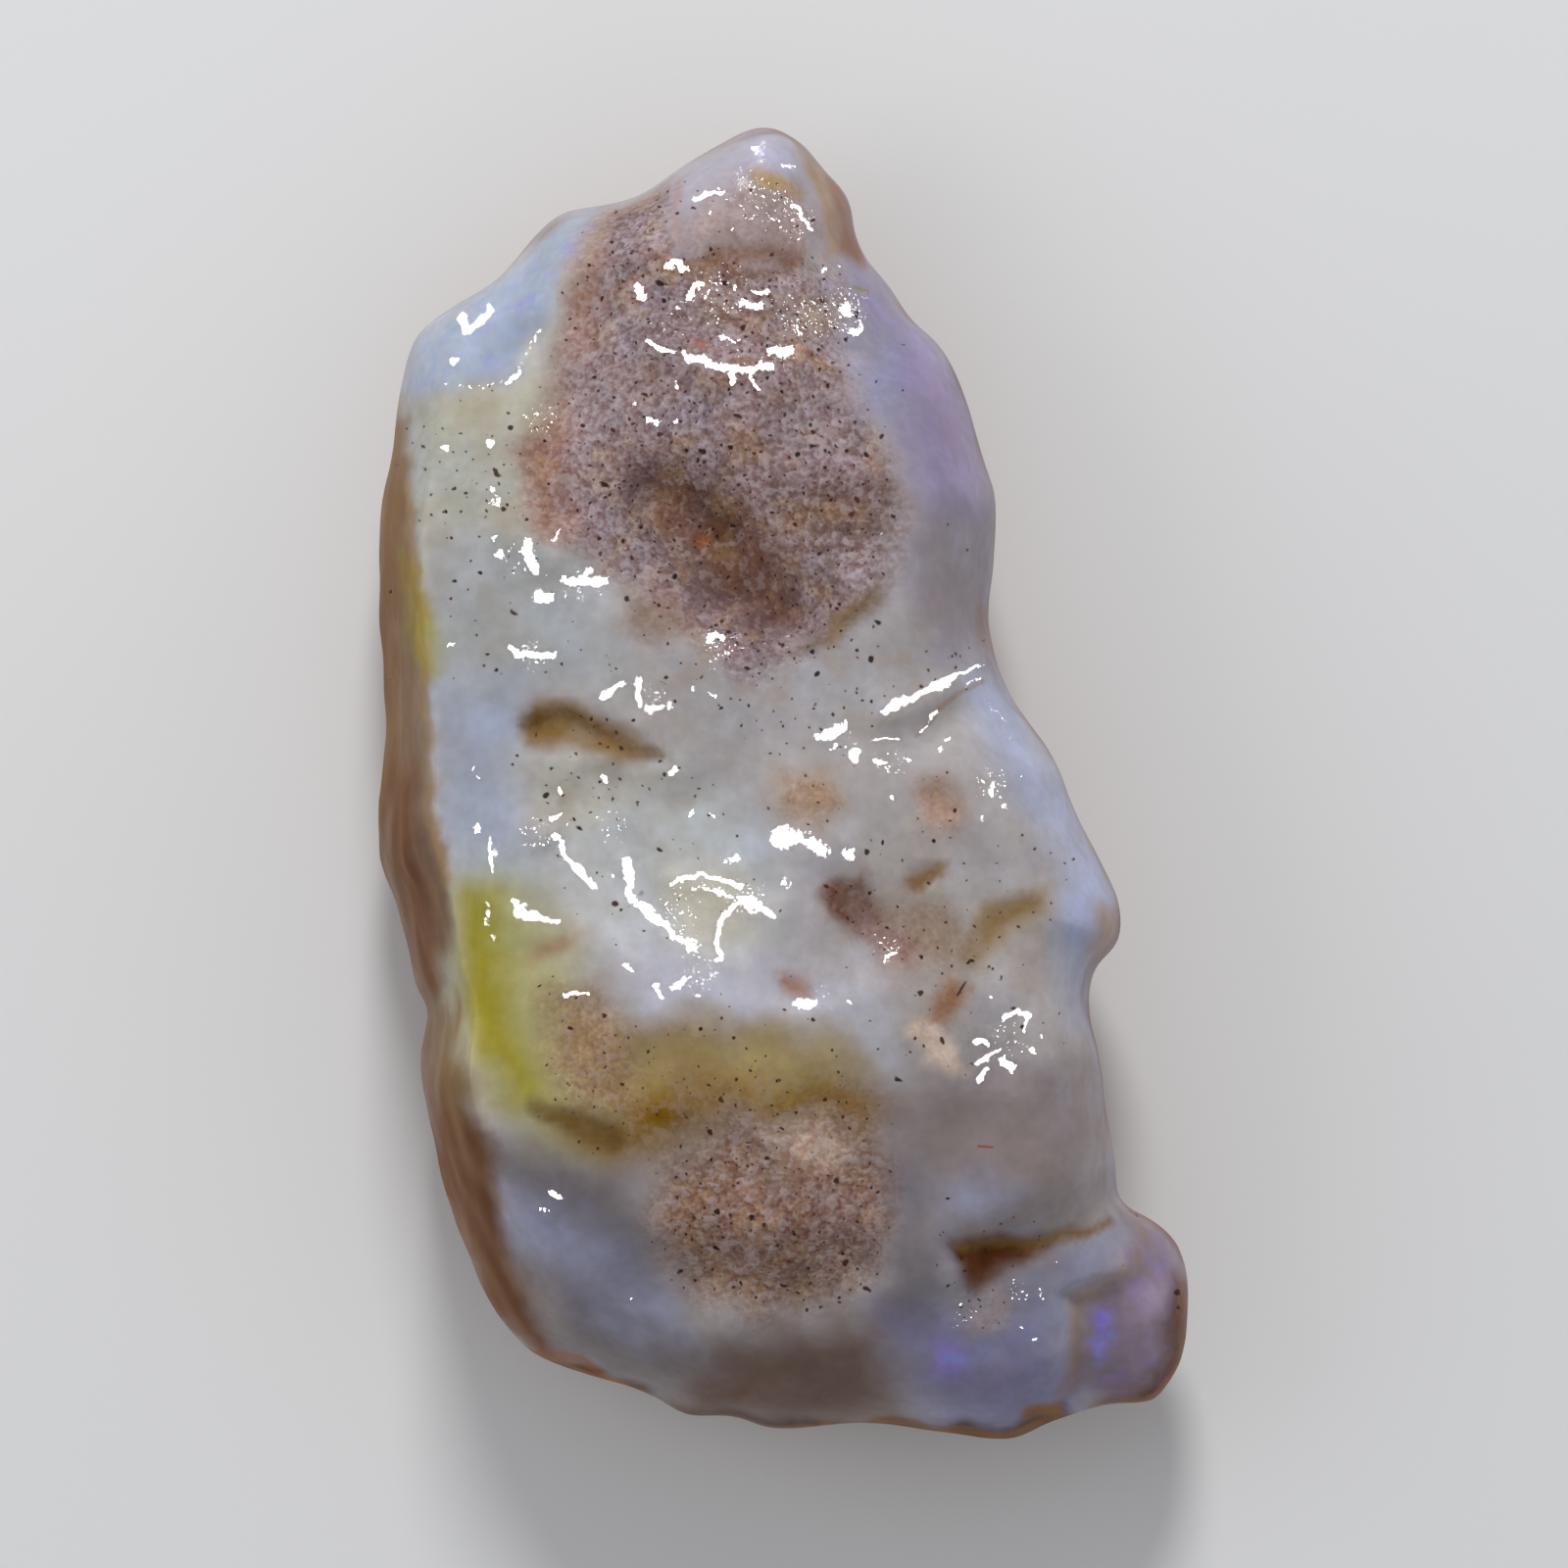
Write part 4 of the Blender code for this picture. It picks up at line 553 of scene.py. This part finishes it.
# Lamps: name, place, width, power in watts
LAMPS = [("key", (0.0, 0.149, 0.161), 0.05, 0.21), ("fill", (-0.08, 0.01, 0.09), 0.07, 0.012)]
LIT_PLACE = (0, 0, 0.004)

PHOTO_WIDTH_PX = 1600
STONE_LENGTH = 0.025
STONE_LENGTH_PX = 1343
# Where the middle of the photo falls on the stone, and the height at which its scale is met
PHOTO_MIDDLE = (0.0000187, -0.0000093)
SCALE_HEIGHT = 0.0045
# Millimetres of the camera, which looks from far off so that the sides stay hidden
SENSOR_WIDTH = 36
FOCAL_LENGTH = 400


def closed_curve(corners):
    """Points along a smooth closed curve through the corners."""
    p = np.array(corners, float)
    t = (np.arange(CURVE_STEPS) / CURVE_STEPS)[:, None]
    before, after, beyond = np.roll(p, 1, 0), np.roll(p, -1, 0), np.roll(p, -2, 0)
    spans = [
        0.5 * (2 * b + (c - a) * t + (2 * a - 5 * b + 4 * c - d) * t**2 + (3 * b - a - 3 * c + d) * t**3)
        for a, b, c, d in zip(before, p, after, beyond)
    ]
    return np.concatenate(spans)


def distance_to_path(x, y, path, closed=False):
    ends = list(zip(path[:-1], path[1:])) + ([(path[-1], path[0])] if closed else [])
    nearest = np.hypot(x - path[0][0], y - path[0][1])
    for (ax, ay), (bx, by) in ends:
        dx, dy = bx - ax, by - ay
        along = np.clip(((x - ax) * dx + (y - ay) * dy) / (dx * dx + dy * dy), 0, 1)
        nearest = np.minimum(nearest, np.hypot(x - ax - along * dx, y - ay - along * dy))
    return nearest


def inside(x, y, corners):
    found = np.zeros(np.shape(x), bool)
    for (ax, ay), (bx, by) in zip(corners, corners[1:] + corners[:1]):
        if ay != by:
            found ^= ((ay > y) != (by > y)) & (x < (bx - ax) * (y - ay) / (by - ay) + ax)
    return found


def signed_depth(x, y, corners):
    """Distance inside the polygon's edge, negative outside."""
    return distance_to_path(x, y, corners, closed=True) * np.where(inside(x, y, corners), 1, -1)


def smooth(t):
    """An even step from 0 to 1 as t goes from 0 to 1."""
    t = np.clip(t, 0, 1)
    return t * t * (3 - 2 * t)


def blend(stations, x, y, reach):
    """Each value of the stations after their place, weighted by how near each station is."""
    weights = [np.exp(-((x - s[0]) ** 2 + (y - s[1]) ** 2) / (2 * reach**2)) + 1e-12 for s in stations]
    total = sum(weights)
    return [sum(w * s[i] for w, s in zip(weights, stations)) / total for i in range(2, len(stations[0]))]


def wave(points, wavelength, seed=LUMP_SEED):
    shift = Vector(seed)
    return np.array([noise.noise(Vector(p) / wavelength + shift) for p in points])


def wavered(x, y, waver):
    """The places moved by a wave of the given amount and wavelength."""
    flat = np.stack([x, y, np.zeros_like(x)], 1)
    amount, wavelength = waver
    return x + amount * wave(flat, wavelength), y + amount * wave(flat, wavelength, LUMP_SEED[::-1])


def shoulder(depth, width, squareness):
    """Rise from the rim, 0 at the edge to 1 at the full width of the shoulder."""
    out = 1 - np.clip(depth / width, 0, 1)
    return np.maximum(1 - out**squareness, 0) ** (1 / squareness)


def bell(x, y, place, half_length, half_width, turn):
    c, s = math.cos(math.radians(turn)), math.sin(math.radians(turn))
    along = ((x - place[0]) * c + (y - place[1]) * s) / half_length
    across = ((y - place[1]) * c - (x - place[0]) * s) / half_width
    return smooth(1.25 * (1 - np.hypot(along, across)) + 0.1)


def face_height(x, y, depth):
    wx, wy = wavered(x, y, EDGE_WAVER)
    (broad,) = blend(FACE, x, y, FACE_REACH)
    rim, width, squareness, terraced = blend(RIM, x, y, RIM_REACH)
    relief = np.zeros_like(x)
    for corners, drop, run in HOLLOWS.values():
        relief -= drop * smooth(0.5 + signed_depth(wx, wy, corners) / run)
    for px, py, half_length, half_width, turn, pit_depth in PITS:
        relief -= pit_depth * bell(wx, wy, (px, py), half_length, half_width, turn)
    for path, height, half_width in FOLDS:
        relief += height * np.exp(-((distance_to_path(wx, wy, path) / half_width) ** 2))
    risen = shoulder(depth, width, squareness)
    risen -= terraced * np.sin(risen * TERRACES * math.tau) / (TERRACES * math.tau)
    return rim + (broad + relief - rim) * risen


def back_height(x, y, depth):
    """Height of the back, with shallow scars where flakes came off."""
    (broad,) = blend(BACK, x, y, BACK_REACH)
    rim = blend(RIM, x, y, RIM_REACH)[0]
    for sx, sy, radius, scar_depth in SCARS:
        broad = broad + scar_depth * np.maximum(1 - np.hypot(x - sx, y - sy) ** 2 / radius**2, 0)
    return rim + (np.minimum(broad, rim) - rim) * shoulder(depth, BACK_SHOULDER, BACK_SQUARENESS)


def ringed_body():
    """Points and faces of the closed body, in rings from the rim over the face and over the back."""
    rim = closed_curve(OUTLINE)
    count = len(rim)
    inwards = (np.arange(RINGS) / RINGS) ** 1.6
    rings = np.array(CENTRE) + (1 - inwards)[:, None, None] * (rim - CENTRE)
    plan = np.concatenate([rings.reshape(-1, 2), [CENTRE]])
    x, y = plan[:, 0], plan[:, 1]
    depth = distance_to_path(x, y, [tuple(p) for p in rim], closed=True)
    depth[:count] = 0
    face = np.stack([x, y, face_height(x, y, depth)], 1)
    back = np.stack([x, y, back_height(x, y, depth)], 1)[count:]
    middle = len(face) - 1

    def cap(index, turned):
        quads = []
        for ring in range(RINGS - 1):
            for i in range(count):
                j = (i + 1) % count
                quad = [ring * count + i, ring * count + j, (ring + 1) * count + j, (ring + 1) * count + i]
                quads.append([index(v) for v in (quad[::-1] if turned else quad)])
        last = (RINGS - 1) * count
        for i in range(count):
            tip = [last + i, last + (i + 1) % count, middle]
            quads.append([index(v) for v in (tip[::-1] if turned else tip)])
        return quads

    faces = cap(lambda v: v, True) + cap(lambda v: v if v < count else v - count + len(face), False)
    return np.concatenate([face, back]), faces


def even_mesh(mesh):
    """The same body on an even net of small faces."""
    helper = bpy.data.objects.new("helper", mesh)
    bpy.context.scene.collection.objects.link(helper)
    modifier = helper.modifiers.new("Remesh", "REMESH")
    modifier.mode = "VOXEL"
    modifier.voxel_size = VOXEL
    graph = bpy.context.evaluated_depsgraph_get()
    made = bpy.data.meshes.new_from_object(helper.evaluated_get(graph), depsgraph=graph)
    bpy.data.objects.remove(helper)
    return made


def coordinates(mesh):
    values = np.empty(len(mesh.vertices) * 3, np.float32)
    mesh.vertices.foreach_get("co", values)
    return values.reshape(-1, 3).astype(float)


def point_normals(mesh):
    values = np.empty(len(mesh.vertices) * 3, np.float32)
    mesh.vertex_normals.foreach_get("vector", values)
    return values.reshape(-1, 3).astype(float)


def put_back(mesh, points):
    mesh.vertices.foreach_set("co", points.astype(np.float32).ravel())
    mesh.update()


def settle_face(mesh):
    """Moves the points that look up to the exact height of the face, and smooths the steep sides."""
    points = coordinates(mesh)
    upward = point_normals(mesh)[:, 2]
    rim = [tuple(p) for p in closed_curve(OUTLINE)]
    up = np.nonzero(upward > 0.3)[0]
    x, y = points[up, 0], points[up, 1]
    depth = np.maximum(signed_depth(x, y, rim), 0)
    move = face_height(x, y, depth) - points[up, 2]
    move[np.abs(move) > LARGEST_MOVE] = 0
    points[up, 2] += move * smooth((upward[up] - 0.3) / 0.3)
    put_back(mesh, points)
    made = bmesh.new()
    made.from_mesh(mesh)
    steep = [v for v in made.verts if -0.3 < v.normal.z < 0.6]
    axes = {"use_axis_x": True, "use_axis_y": True, "use_axis_z": True}
    for turn in range(SIDE_SMOOTHINGS):
        bmesh.ops.smooth_vert(made, verts=steep, factor=0.5, **axes)
    made.to_mesh(mesh)
    made.free()


def wetness(x, y):
    """How finely dimpled and wet the skin is, 0 to 1."""
    found = sum(smooth(1.2 * (1 - np.hypot(x - px, y - py) / radius)) for px, py, radius in DIMPLED)
    return np.clip(found, 0, 1)


def roughen(mesh):
    """Adds lumps and fine dimples, and cuts the worn flat."""
    points = coordinates(mesh)
    normals = point_normals(mesh)
    lift = sum(amount * wave(points, wavelength) for amount, wavelength in LUMPS)
    dimples = sum(amount * wave(points, wavelength) for amount, wavelength in DIMPLES)
    lift += smooth((normals[:, 2] - 0.2) / 0.4) * wetness(points[:, 0], points[:, 1]) * dimples
    points += normals * lift[:, None]
    points[:, 2] = np.maximum(points[:, 2] - FLAT_CUT, 0)
    put_back(mesh, points)


def near_marks(x, y, margin):
    """Whether each place is nearer than the margin to a glint or a fine stroke."""
    marks = [(path, half_width) for path, half_width, cover in GLINTS]
    strokes = [(path, half_width) for code, half_width, strength, path in STROKES.values()]
    marks += [mark for mark in strokes if mark[1] < FINE_LINE]
    near = np.zeros(len(x), bool)
    for path, half_width in marks:
        near |= distance_to_path(x, y, path) < half_width + margin
    return near


def refine(mesh):
    """Splits the edges near the finest marks, so that a mark has enough points to hold its shape."""
    made = bmesh.new()
    made.from_mesh(mesh)
    bmesh.ops.triangulate(made, faces=made.faces)
    for longest in FINE_EDGES:
        made.verts.ensure_lookup_table()
        made.verts.index_update()
        points = np.array([v.co for v in made.verts])
        near = near_marks(points[:, 0], points[:, 1], 0.65 * longest) & (points[:, 2] > LOWEST_MARK)
        long = [
            e for e in made.edges
            if (near[e.verts[0].index] or near[e.verts[1].index]) and e.calc_length() > longest
        ]
        bmesh.ops.subdivide_edges(made, edges=long, cuts=1, use_grid_fill=True)
        bmesh.ops.triangulate(made, faces=[f for f in made.faces if len(f.verts) > 3])
    made.to_mesh(mesh)
    made.free()


def linear(code):
    """A hex colour as linear light."""
    channels = np.array([int(code[i:i + 2], 16) / 255 for i in (0, 2, 4)])
    return np.where(channels <= 0.04045, channels / 12.92, ((channels + 0.055) / 1.055) ** 2.4)


def between(first, second, share):
    return linear(first) + (linear(second) - linear(first)) * share[:, None]


def mix_in(values, goal, cover):
    values += (goal - values) * cover[:, None]


def add_patches(points, frayed, tint, marks):
    gaps = 1 - smooth(0.5 + 1.6 * wave(points, 0.55))
    for code, soft, strength, sandy, speckled, fiery, corners in TINTS.values():
        cover = strength * smooth(0.5 + signed_depth(*frayed, corners) / (2 * soft))
        cover *= 1 - 0.45 * speckled * (1 - sandy) * gaps
        mix_in(tint, linear(code), cover)
        mix_in(marks, np.array([sandy, speckled, fiery]), cover)


def add_strokes(plan, strayed, tint):
    for code, half_width, strength, path in STROKES.values():
        away = distance_to_path(*(plan if half_width < FINE_LINE else strayed), path)
        mix_in(tint, linear(code), strength * smooth(1.5 - away / half_width))


def skin_tint(points):
    """The tan skin, in patches of light, dark and greyish tan."""
    skin = between(SKIN, DARK_SKIN, smooth(0.5 + 0.5 * wave(points, 2.3) / 0.6))
    mix_in(skin, linear(GREY_SKIN), 0.6 * smooth(2.2 * wave(points, 3.1, (9.1, 2.2, 4.4))))
    return skin


def glinting(points, plan, wet):
    """How likely each point lies on a small wet face that catches the light."""
    gx, gy = wavered(*wavered(*plan, (0.10, 0.30)), (0.05, 0.12))
    swell = 0.66 * (1 + 0.8 * wave(points, 0.5))
    glint = WET_GLINT * wet
    for path, half_width, cover in GLINTS:
        kept = 0.12 + 0.73 * cover if half_width < 0.09 else 0.80 * cover
        away = distance_to_path(gx, gy, path) / (half_width * swell)
        glint = np.maximum(glint, kept * np.clip(1.20 - 0.45 * away, 0, 1))
    return glint


def paint(mesh):
    """Stores the tint, and how sandy, speckled, fiery, wet, glinting and dull each point is."""
    points = coordinates(mesh)
    upward = point_normals(mesh)[:, 2]
    x, y = points[:, 0], points[:, 1]
    steep = 1 - smooth((upward - 0.05) / 0.30)
    side = steep * smooth((x + 5.5) / 2.5) * smooth((y + 10.8) / 1.5)
    wx, wy = wavered(x, y, TINT_WAVER)
    wx, wy = wx + 1.1 * side * wave(points, 1.6), wy + 1.1 * side * wave(points, 1.6, (4.2, 8.1, 2.6))
    frayed = wavered(wx, wy, TINT_FRAY)

    tint = np.tile(linear(BODY), (len(points), 1))
    marks = np.zeros((len(points), 3))
    add_patches(points, frayed, tint, marks)
    add_strokes((x, y), (wx, wy), tint)
    flank = np.zeros(len(points))
    for name in TAN_PATCHES:
        flank = np.maximum(flank, smooth(0.5 + signed_depth(*frayed, TINTS[name][-1]) / 0.5))
    mix_in(tint, between(*MILKY_SIDE, smooth(0.5 + wave(points, 1.8))), 0.65 * side * (1 - flank))
    down = 1 - smooth((upward + 0.18 + 0.30 * wave(points, 1.4)) / 0.40)
    tanned = np.maximum(down, 0.75 * flank * (1 - smooth((upward - 0.05) / 0.35)))
    mix_in(tint, skin_tint(points), tanned)
    marks *= (1 - down)[:, None]
    marks[:, 0] += 0.35 * down * smooth(1.5 * wave(points, 1.9, (1.1, 6.2, 8.4)))

    wet = wetness(x, y)
    glint = glinting(points, (x, y), wet) * (1 - down) * smooth((upward - 0.20) / 0.20)
    values = {
        "sand": marks[:, 0], "specks": marks[:, 1], "fire": marks[:, 2], "wet": wet * (1 - down),
        "glint": glint, "dull": np.maximum(down, flank),
    }
    for name, amounts in values.items():
        layer = mesh.attributes.new(name, "FLOAT", "POINT")
        layer.data.foreach_set("value", np.clip(amounts, 0, 1).astype(np.float32))
    colours = np.concatenate([np.clip(tint, 0, 1), np.ones((len(points), 1))], 1)
    layer = mesh.attributes.new("tint", "FLOAT_COLOR", "POINT")
    layer.data.foreach_set("color", colours.astype(np.float32).ravel())


class Nodes:
    """Short ways to add and join a material's nodes."""

    def __init__(self, name):
        self.material = bpy.data.materials.new(name)
        self.material.use_nodes = True
        self.tree = self.material.node_tree
        self.shader = self.tree.nodes["Principled BSDF"]

    def add(self, kind, output=0, inputs=(), **settings):
        node = self.tree.nodes.new(kind)
        for name, value in settings.items():
            setattr(node, name, value)
        for key, value in dict(inputs).items():
            if isinstance(value, bpy.types.NodeSocket):
                self.tree.links.new(value, node.inputs[key])
            else:
                node.inputs[key].default_value = value
        return node.outputs[output]

    def maths(self, operation, a, b=0.0):
        return self.add("ShaderNodeMath", 0, {0: a, 1: b}, operation=operation)

    def times(self, a, b):
        return self.maths("MULTIPLY", a, b)

    def rest_of(self, value):
        return self.maths("SUBTRACT", 1.0, value)

    def mix(self, factor, a, b, blend_type="MIX"):
        inputs = {0: factor, 6: a, 7: b}
        return self.add("ShaderNodeMix", 2, inputs, data_type="RGBA", blend_type=blend_type)

    def span(self, value, low, high, to_low=0.0, to_high=1.0):
        inputs = {0: value, 1: low, 2: high, 3: to_low, 4: to_high}
        return self.add("ShaderNodeMapRange", 0, inputs, clamp=True)

    def vector(self, operation, a, b):
        return self.add("ShaderNodeVectorMath", 0, {0: a, 1: b}, operation=operation)

    def scaled(self, colour, amount):
        return self.add("ShaderNodeVectorMath", 0, {0: colour, 3: amount}, operation="SCALE")

    def noise(self, where, scale, detail=2.0, output=0):
        return self.add("ShaderNodeTexNoise", output, {"Vector": where, "Scale": scale, "Detail": detail})

    def cells(self, where, scale, **settings):
        """Distance to the nearest cell's middle, and three random values of that cell."""
        node = self.tree.nodes.new("ShaderNodeTexVoronoi")
        for name, value in settings.items():
            setattr(node, name, value)
        self.tree.links.new(where, node.inputs["Vector"])
        node.inputs["Scale"].default_value = scale
        split = self.tree.nodes.new("ShaderNodeSeparateColor")
        self.tree.links.new(node.outputs["Color"], split.inputs[0])
        return node.outputs["Distance"], split.outputs

    def bump(self, height, strength, depth_mm, **normal):
        inputs = {"Height": height, "Strength": strength, "Distance": depth_mm * METRES_PER_MM}
        return self.add("ShaderNodeBump", 0, {**inputs, **normal})

    def mark(self, name):
        return self.add("ShaderNodeAttribute", 2, attribute_name=name)

    def set(self, **settings):
        """Sets plain values on the shader's sockets, named with _ for a space."""
        for name, value in settings.items():
            self.shader.inputs[name.replace("_", " ")].default_value = value

    def join(self, name, value):
        self.tree.links.new(value, self.shader.inputs[name])


def milky_colour(n, place, warped, specks):
    """The tints, with soft clouds, faint fibres and brown stains where specks gather."""
    tint = n.add("ShaderNodeAttribute", 0, attribute_name="tint")
    cloud = n.span(n.noise(place, 0.9, 3.0), 0.3, 0.7, 0.92, 1.06)
    veil = n.span(n.noise(place, 0.55), 0.45, 0.75)
    colour = n.mix(veil, n.scaled(tint, cloud), (1.02, 1.06, 1.13, 1.0), "MULTIPLY")
    fibres = n.span(n.noise(place, 4.5, 4.0), 0.35, 0.65, 0.95, 1.04)
    colour = n.scaled(colour, fibres)
    stained = n.times(n.span(n.noise(warped, 1.5, 5.0), 0.50, 0.66, 0.0, 0.55), specks)
    colour = n.mix(stained, colour, (0.36, 0.24, 0.13, 1.0))
    milky = n.span(n.noise(warped, 1.1, 3.5), 0.48, 0.72, 0.0, 0.85)
    return n.mix(milky, colour, (1.12, 1.13, 1.17, 1.0), "MULTIPLY")


def sandy_colour(n, colour, place, warped):
    """The same colour broken up into grains, with warm zones, rust and darker crumbs."""
    coarse = n.span(n.noise(warped, 6.0, 3.0), 0.34, 0.66)
    coarse = n.mix(coarse, (0.76, 0.60, 0.54, 1.0), (1.26, 1.32, 1.36, 1.0))
    grain = n.mix(1.0, colour, coarse, "MULTIPLY")
    grain = n.scaled(grain, n.span(n.noise(place, 12.0), 0.34, 0.66, 0.82, 1.18))
    grain = n.scaled(grain, n.span(n.noise(place, 1.2), 0.35, 0.65, 0.86, 1.16))
    warm = n.span(n.noise(place, 0.8), 0.38, 0.62)
    grain = n.mix(warm, grain, (1.08, 0.97, 0.88, 1.0), "MULTIPLY")
    rust = n.span(n.noise(warped, 1.7, 4.0), 0.54, 0.68, 0.0, 0.32)
    grain = n.mix(rust, grain, (0.27, 0.155, 0.09, 1.0))
    crumbs = n.span(n.noise(warped, 5.0, 4.0), 0.55, 0.60, 0.0, 0.45)
    return n.mix(crumbs, grain, (0.52, 0.43, 0.43, 1.0))


def with_flashes(n, colour, place, warped, fire):
    """Adds the violet and blue play of colour."""
    pick = n.cells(warped, 2.2)[1]
    hue = n.mix(pick[0], (0.20, 0.16, 0.90, 1.0), (0.48, 0.30, 0.85, 1.0))
    hue = n.mix(n.span(pick[1], 0.55, 0.75), hue, (0.16, 0.42, 0.80, 1.0))
    flash = n.times(n.span(n.noise(place, 2.6), 0.50, 0.66, 0.0, 0.55), fire)
    return n.mix(flash, colour, hue)


def with_specks(n, colour, place, warped, specks):
    """Scatters dark mineral specks, one set of cells for each size."""
    clumped = n.times(specks, n.span(n.noise(place, 0.9), 0.32, 0.62, 0.45, 1.25))
    for scale, small, large, stretch, turn, share in SPECK_SETS:
        turned = n.add("ShaderNodeVectorRotate", 0, {0: warped, 3: turn}, rotation_type="Z_AXIS")
        flat = n.vector("MULTIPLY", turned, (1.0, stretch, 0.0))
        distance, pick = n.cells(flat, scale, voronoi_dimensions="2D")
        reach = n.span(pick[0], 0.0, 1.0, small * scale, large * scale)
        spot = n.span(n.maths("SUBTRACT", reach, distance), -0.010 * scale, 0.012 * scale, 0.0, 0.94)
        spot = n.times(spot, n.maths("LESS_THAN", pick[1], n.times(clumped, share)))
        dark = n.mix(pick[2], (0.010, 0.006, 0.008, 1.0), (0.110, 0.036, 0.022, 1.0))
        colour = n.mix(spot, colour, dark)
    return colour


def glinting_places(n, place, warped, glint, sand, wet):
    """The small wet faces, with broken edges, and the sparks in the sand and on the dimpled skin."""
    below = n.rest_of(glint)
    faced = n.span(n.noise(warped, 15.0), n.maths("SUBTRACT", below, 0.03), n.maths("ADD", below, 0.03))
    faced = n.times(faced, n.maths("GREATER_THAN", glint, 0.02))
    dusted = n.maths("MAXIMUM", n.times(sand, 0.6), wet)
    sparks = n.times(n.span(n.noise(place, 17.0, 1.0), 0.685, 0.72), dusted)
    return n.maths("MAXIMUM", faced, sparks)


def stone_material():
    n = Nodes("rough opal")
    place = n.scaled(n.add("ShaderNodeTexCoord", 3), 1 / METRES_PER_MM)
    sand, specks, fire = n.mark("sand"), n.mark("specks"), n.mark("fire")
    wet, glint, dull = n.mark("wet"), n.mark("glint"), n.mark("dull")
    warp = n.vector("SUBTRACT", n.noise(place, 6.0, 1.0, 1), (0.5, 0.5, 0.5))
    warped = n.vector("ADD", place, n.scaled(warp, 0.12))

    colour = milky_colour(n, place, warped, specks)
    colour = n.mix(sand, colour, sandy_colour(n, colour, place, warped))
    colour = with_flashes(n, colour, place, warped, fire)
    colour = with_specks(n, colour, place, warped, specks)

    ripples = n.times(n.noise(place, 3.6, 3.0), n.maths("ADD", n.times(wet, 0.7), 0.05))
    dimples = n.bump(ripples, 0.7, 0.08)
    rough = n.bump(n.times(n.noise(place, 5.0, 4.0), sand), 0.8, 0.09, Normal=dimples)
    faced = glinting_places(n, place, warped, glint, sand, wet)
    level = n.mix(n.times(n.rest_of(dull), 0.65), rough, (0.0, 0.0, 1.0, 1.0))
    facet = n.add("ShaderNodeVectorMath", 0, {0: n.mix(faced, level, LEAN + (1.0,))}, operation="NORMALIZE")

    n.set(Subsurface_Radius=(1.0, 0.9, 0.8), Subsurface_Scale=0.9 * METRES_PER_MM, IOR=1.15)
    n.set(Specular_IOR_Level=0.12, Roughness=0.5, Coat_Roughness=0.05, Coat_IOR=1.55)
    coat = n.times(n.rest_of(dull), n.rest_of(n.times(sand, 0.8)))
    opaque = n.times(n.maths("MAXIMUM", n.maths("MAXIMUM", sand, specks), dull), 0.65)
    n.join("Base Color", colour)
    n.join("Coat Weight", n.maths("MAXIMUM", n.times(coat, 0.12), faced))
    n.join("Subsurface Weight", n.maths("SUBTRACT", 0.85, opaque))
    n.join("Normal", rough)
    n.join("Coat Normal", facet)
    return n.material


def make_stone():
    points, faces = ringed_body()
    rings = bpy.data.meshes.new("rings")
    rings.from_pydata(points.tolist(), [], faces)
    mesh = even_mesh(rings)
    settle_face(mesh)
    roughen(mesh)
    refine(mesh)
    paint(mesh)
    points = coordinates(mesh)
    points[points[:, 2] < FLAT_CUT / 4, 2] = 0
    points[:, :2] += FOOTPRINT_SHIFT
    low, high = (np.array(corner) / METRES_PER_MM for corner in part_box("opal"))
    points = np.clip(points, low, high)
    put_back(mesh, points * METRES_PER_MM)
    mesh.shade_smooth()
    mesh.materials.append(stone_material())
    stone = bpy.data.objects.new("opal_look", mesh)
    bpy.context.scene.collection.objects.link(stone)
    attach(stone, "root")
    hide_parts("opal")


def make_floor():
    mesh = bpy.data.meshes.new("floor")
    half = FLOOR_SIZE / 2
    corners = [(-half, -half, 0), (half, -half, 0), (half, half, 0), (-half, half, 0)]
    mesh.from_pydata(corners, [], [(0, 1, 2, 3)])
    n = Nodes("pale floor")
    cloud = n.noise(n.add("ShaderNodeTexCoord", 3), 60.0, 3.0)
    n.join("Base Color", n.mix(cloud, (0.86, 0.86, 0.86, 1.0), (0.90, 0.90, 0.89, 1.0)))
    n.set(Roughness=0.8, Specular_IOR_Level=0.2)
    mesh.materials.append(n.material)
    floor = bpy.data.objects.new("floor", mesh)
    bpy.context.scene.collection.objects.link(floor)
    floor.location.z = FLOOR_HEIGHT


def lamp(name, place, size, power):
    light = bpy.data.lights.new(name, "AREA")
    light.shape = "DISK"
    light.size = size
    light.energy = power
    item = bpy.data.objects.new(name, light)
    item.location = place
    item.rotation_euler = (Vector(LIT_PLACE) - item.location).to_track_quat("-Z", "Y").to_euler()
    bpy.context.scene.collection.objects.link(item)


def make_light():
    world = bpy.data.worlds.new("studio")
    world.use_nodes = True
    world.node_tree.nodes["Background"].inputs["Color"].default_value = (0.93, 0.95, 1.0, 1.0)
    world.node_tree.nodes["Background"].inputs["Strength"].default_value = 0.40
    bpy.context.scene.world = world
    for name, place, size, power in LAMPS:
        lamp(name, place, size, power)


def make_camera():
    """Looks straight down, from where the stone's length fills its share of the photo."""
    camera = bpy.data.cameras.new("camera")
    camera.sensor_width = SENSOR_WIDTH
    camera.lens = FOCAL_LENGTH
    camera.clip_start = 0.01
    camera.clip_end = 10
    seen_width = PHOTO_WIDTH_PX * STONE_LENGTH / STONE_LENGTH_PX
    item = bpy.data.objects.new("camera", camera)
    item.location = (*PHOTO_MIDDLE, SCALE_HEIGHT + seen_width * FOCAL_LENGTH / SENSOR_WIDTH)
    bpy.context.scene.collection.objects.link(item)
    bpy.context.scene.camera = item
    bpy.context.scene.view_settings.view_transform = "Standard"


make_stone()
make_floor()
make_light()
make_camera()
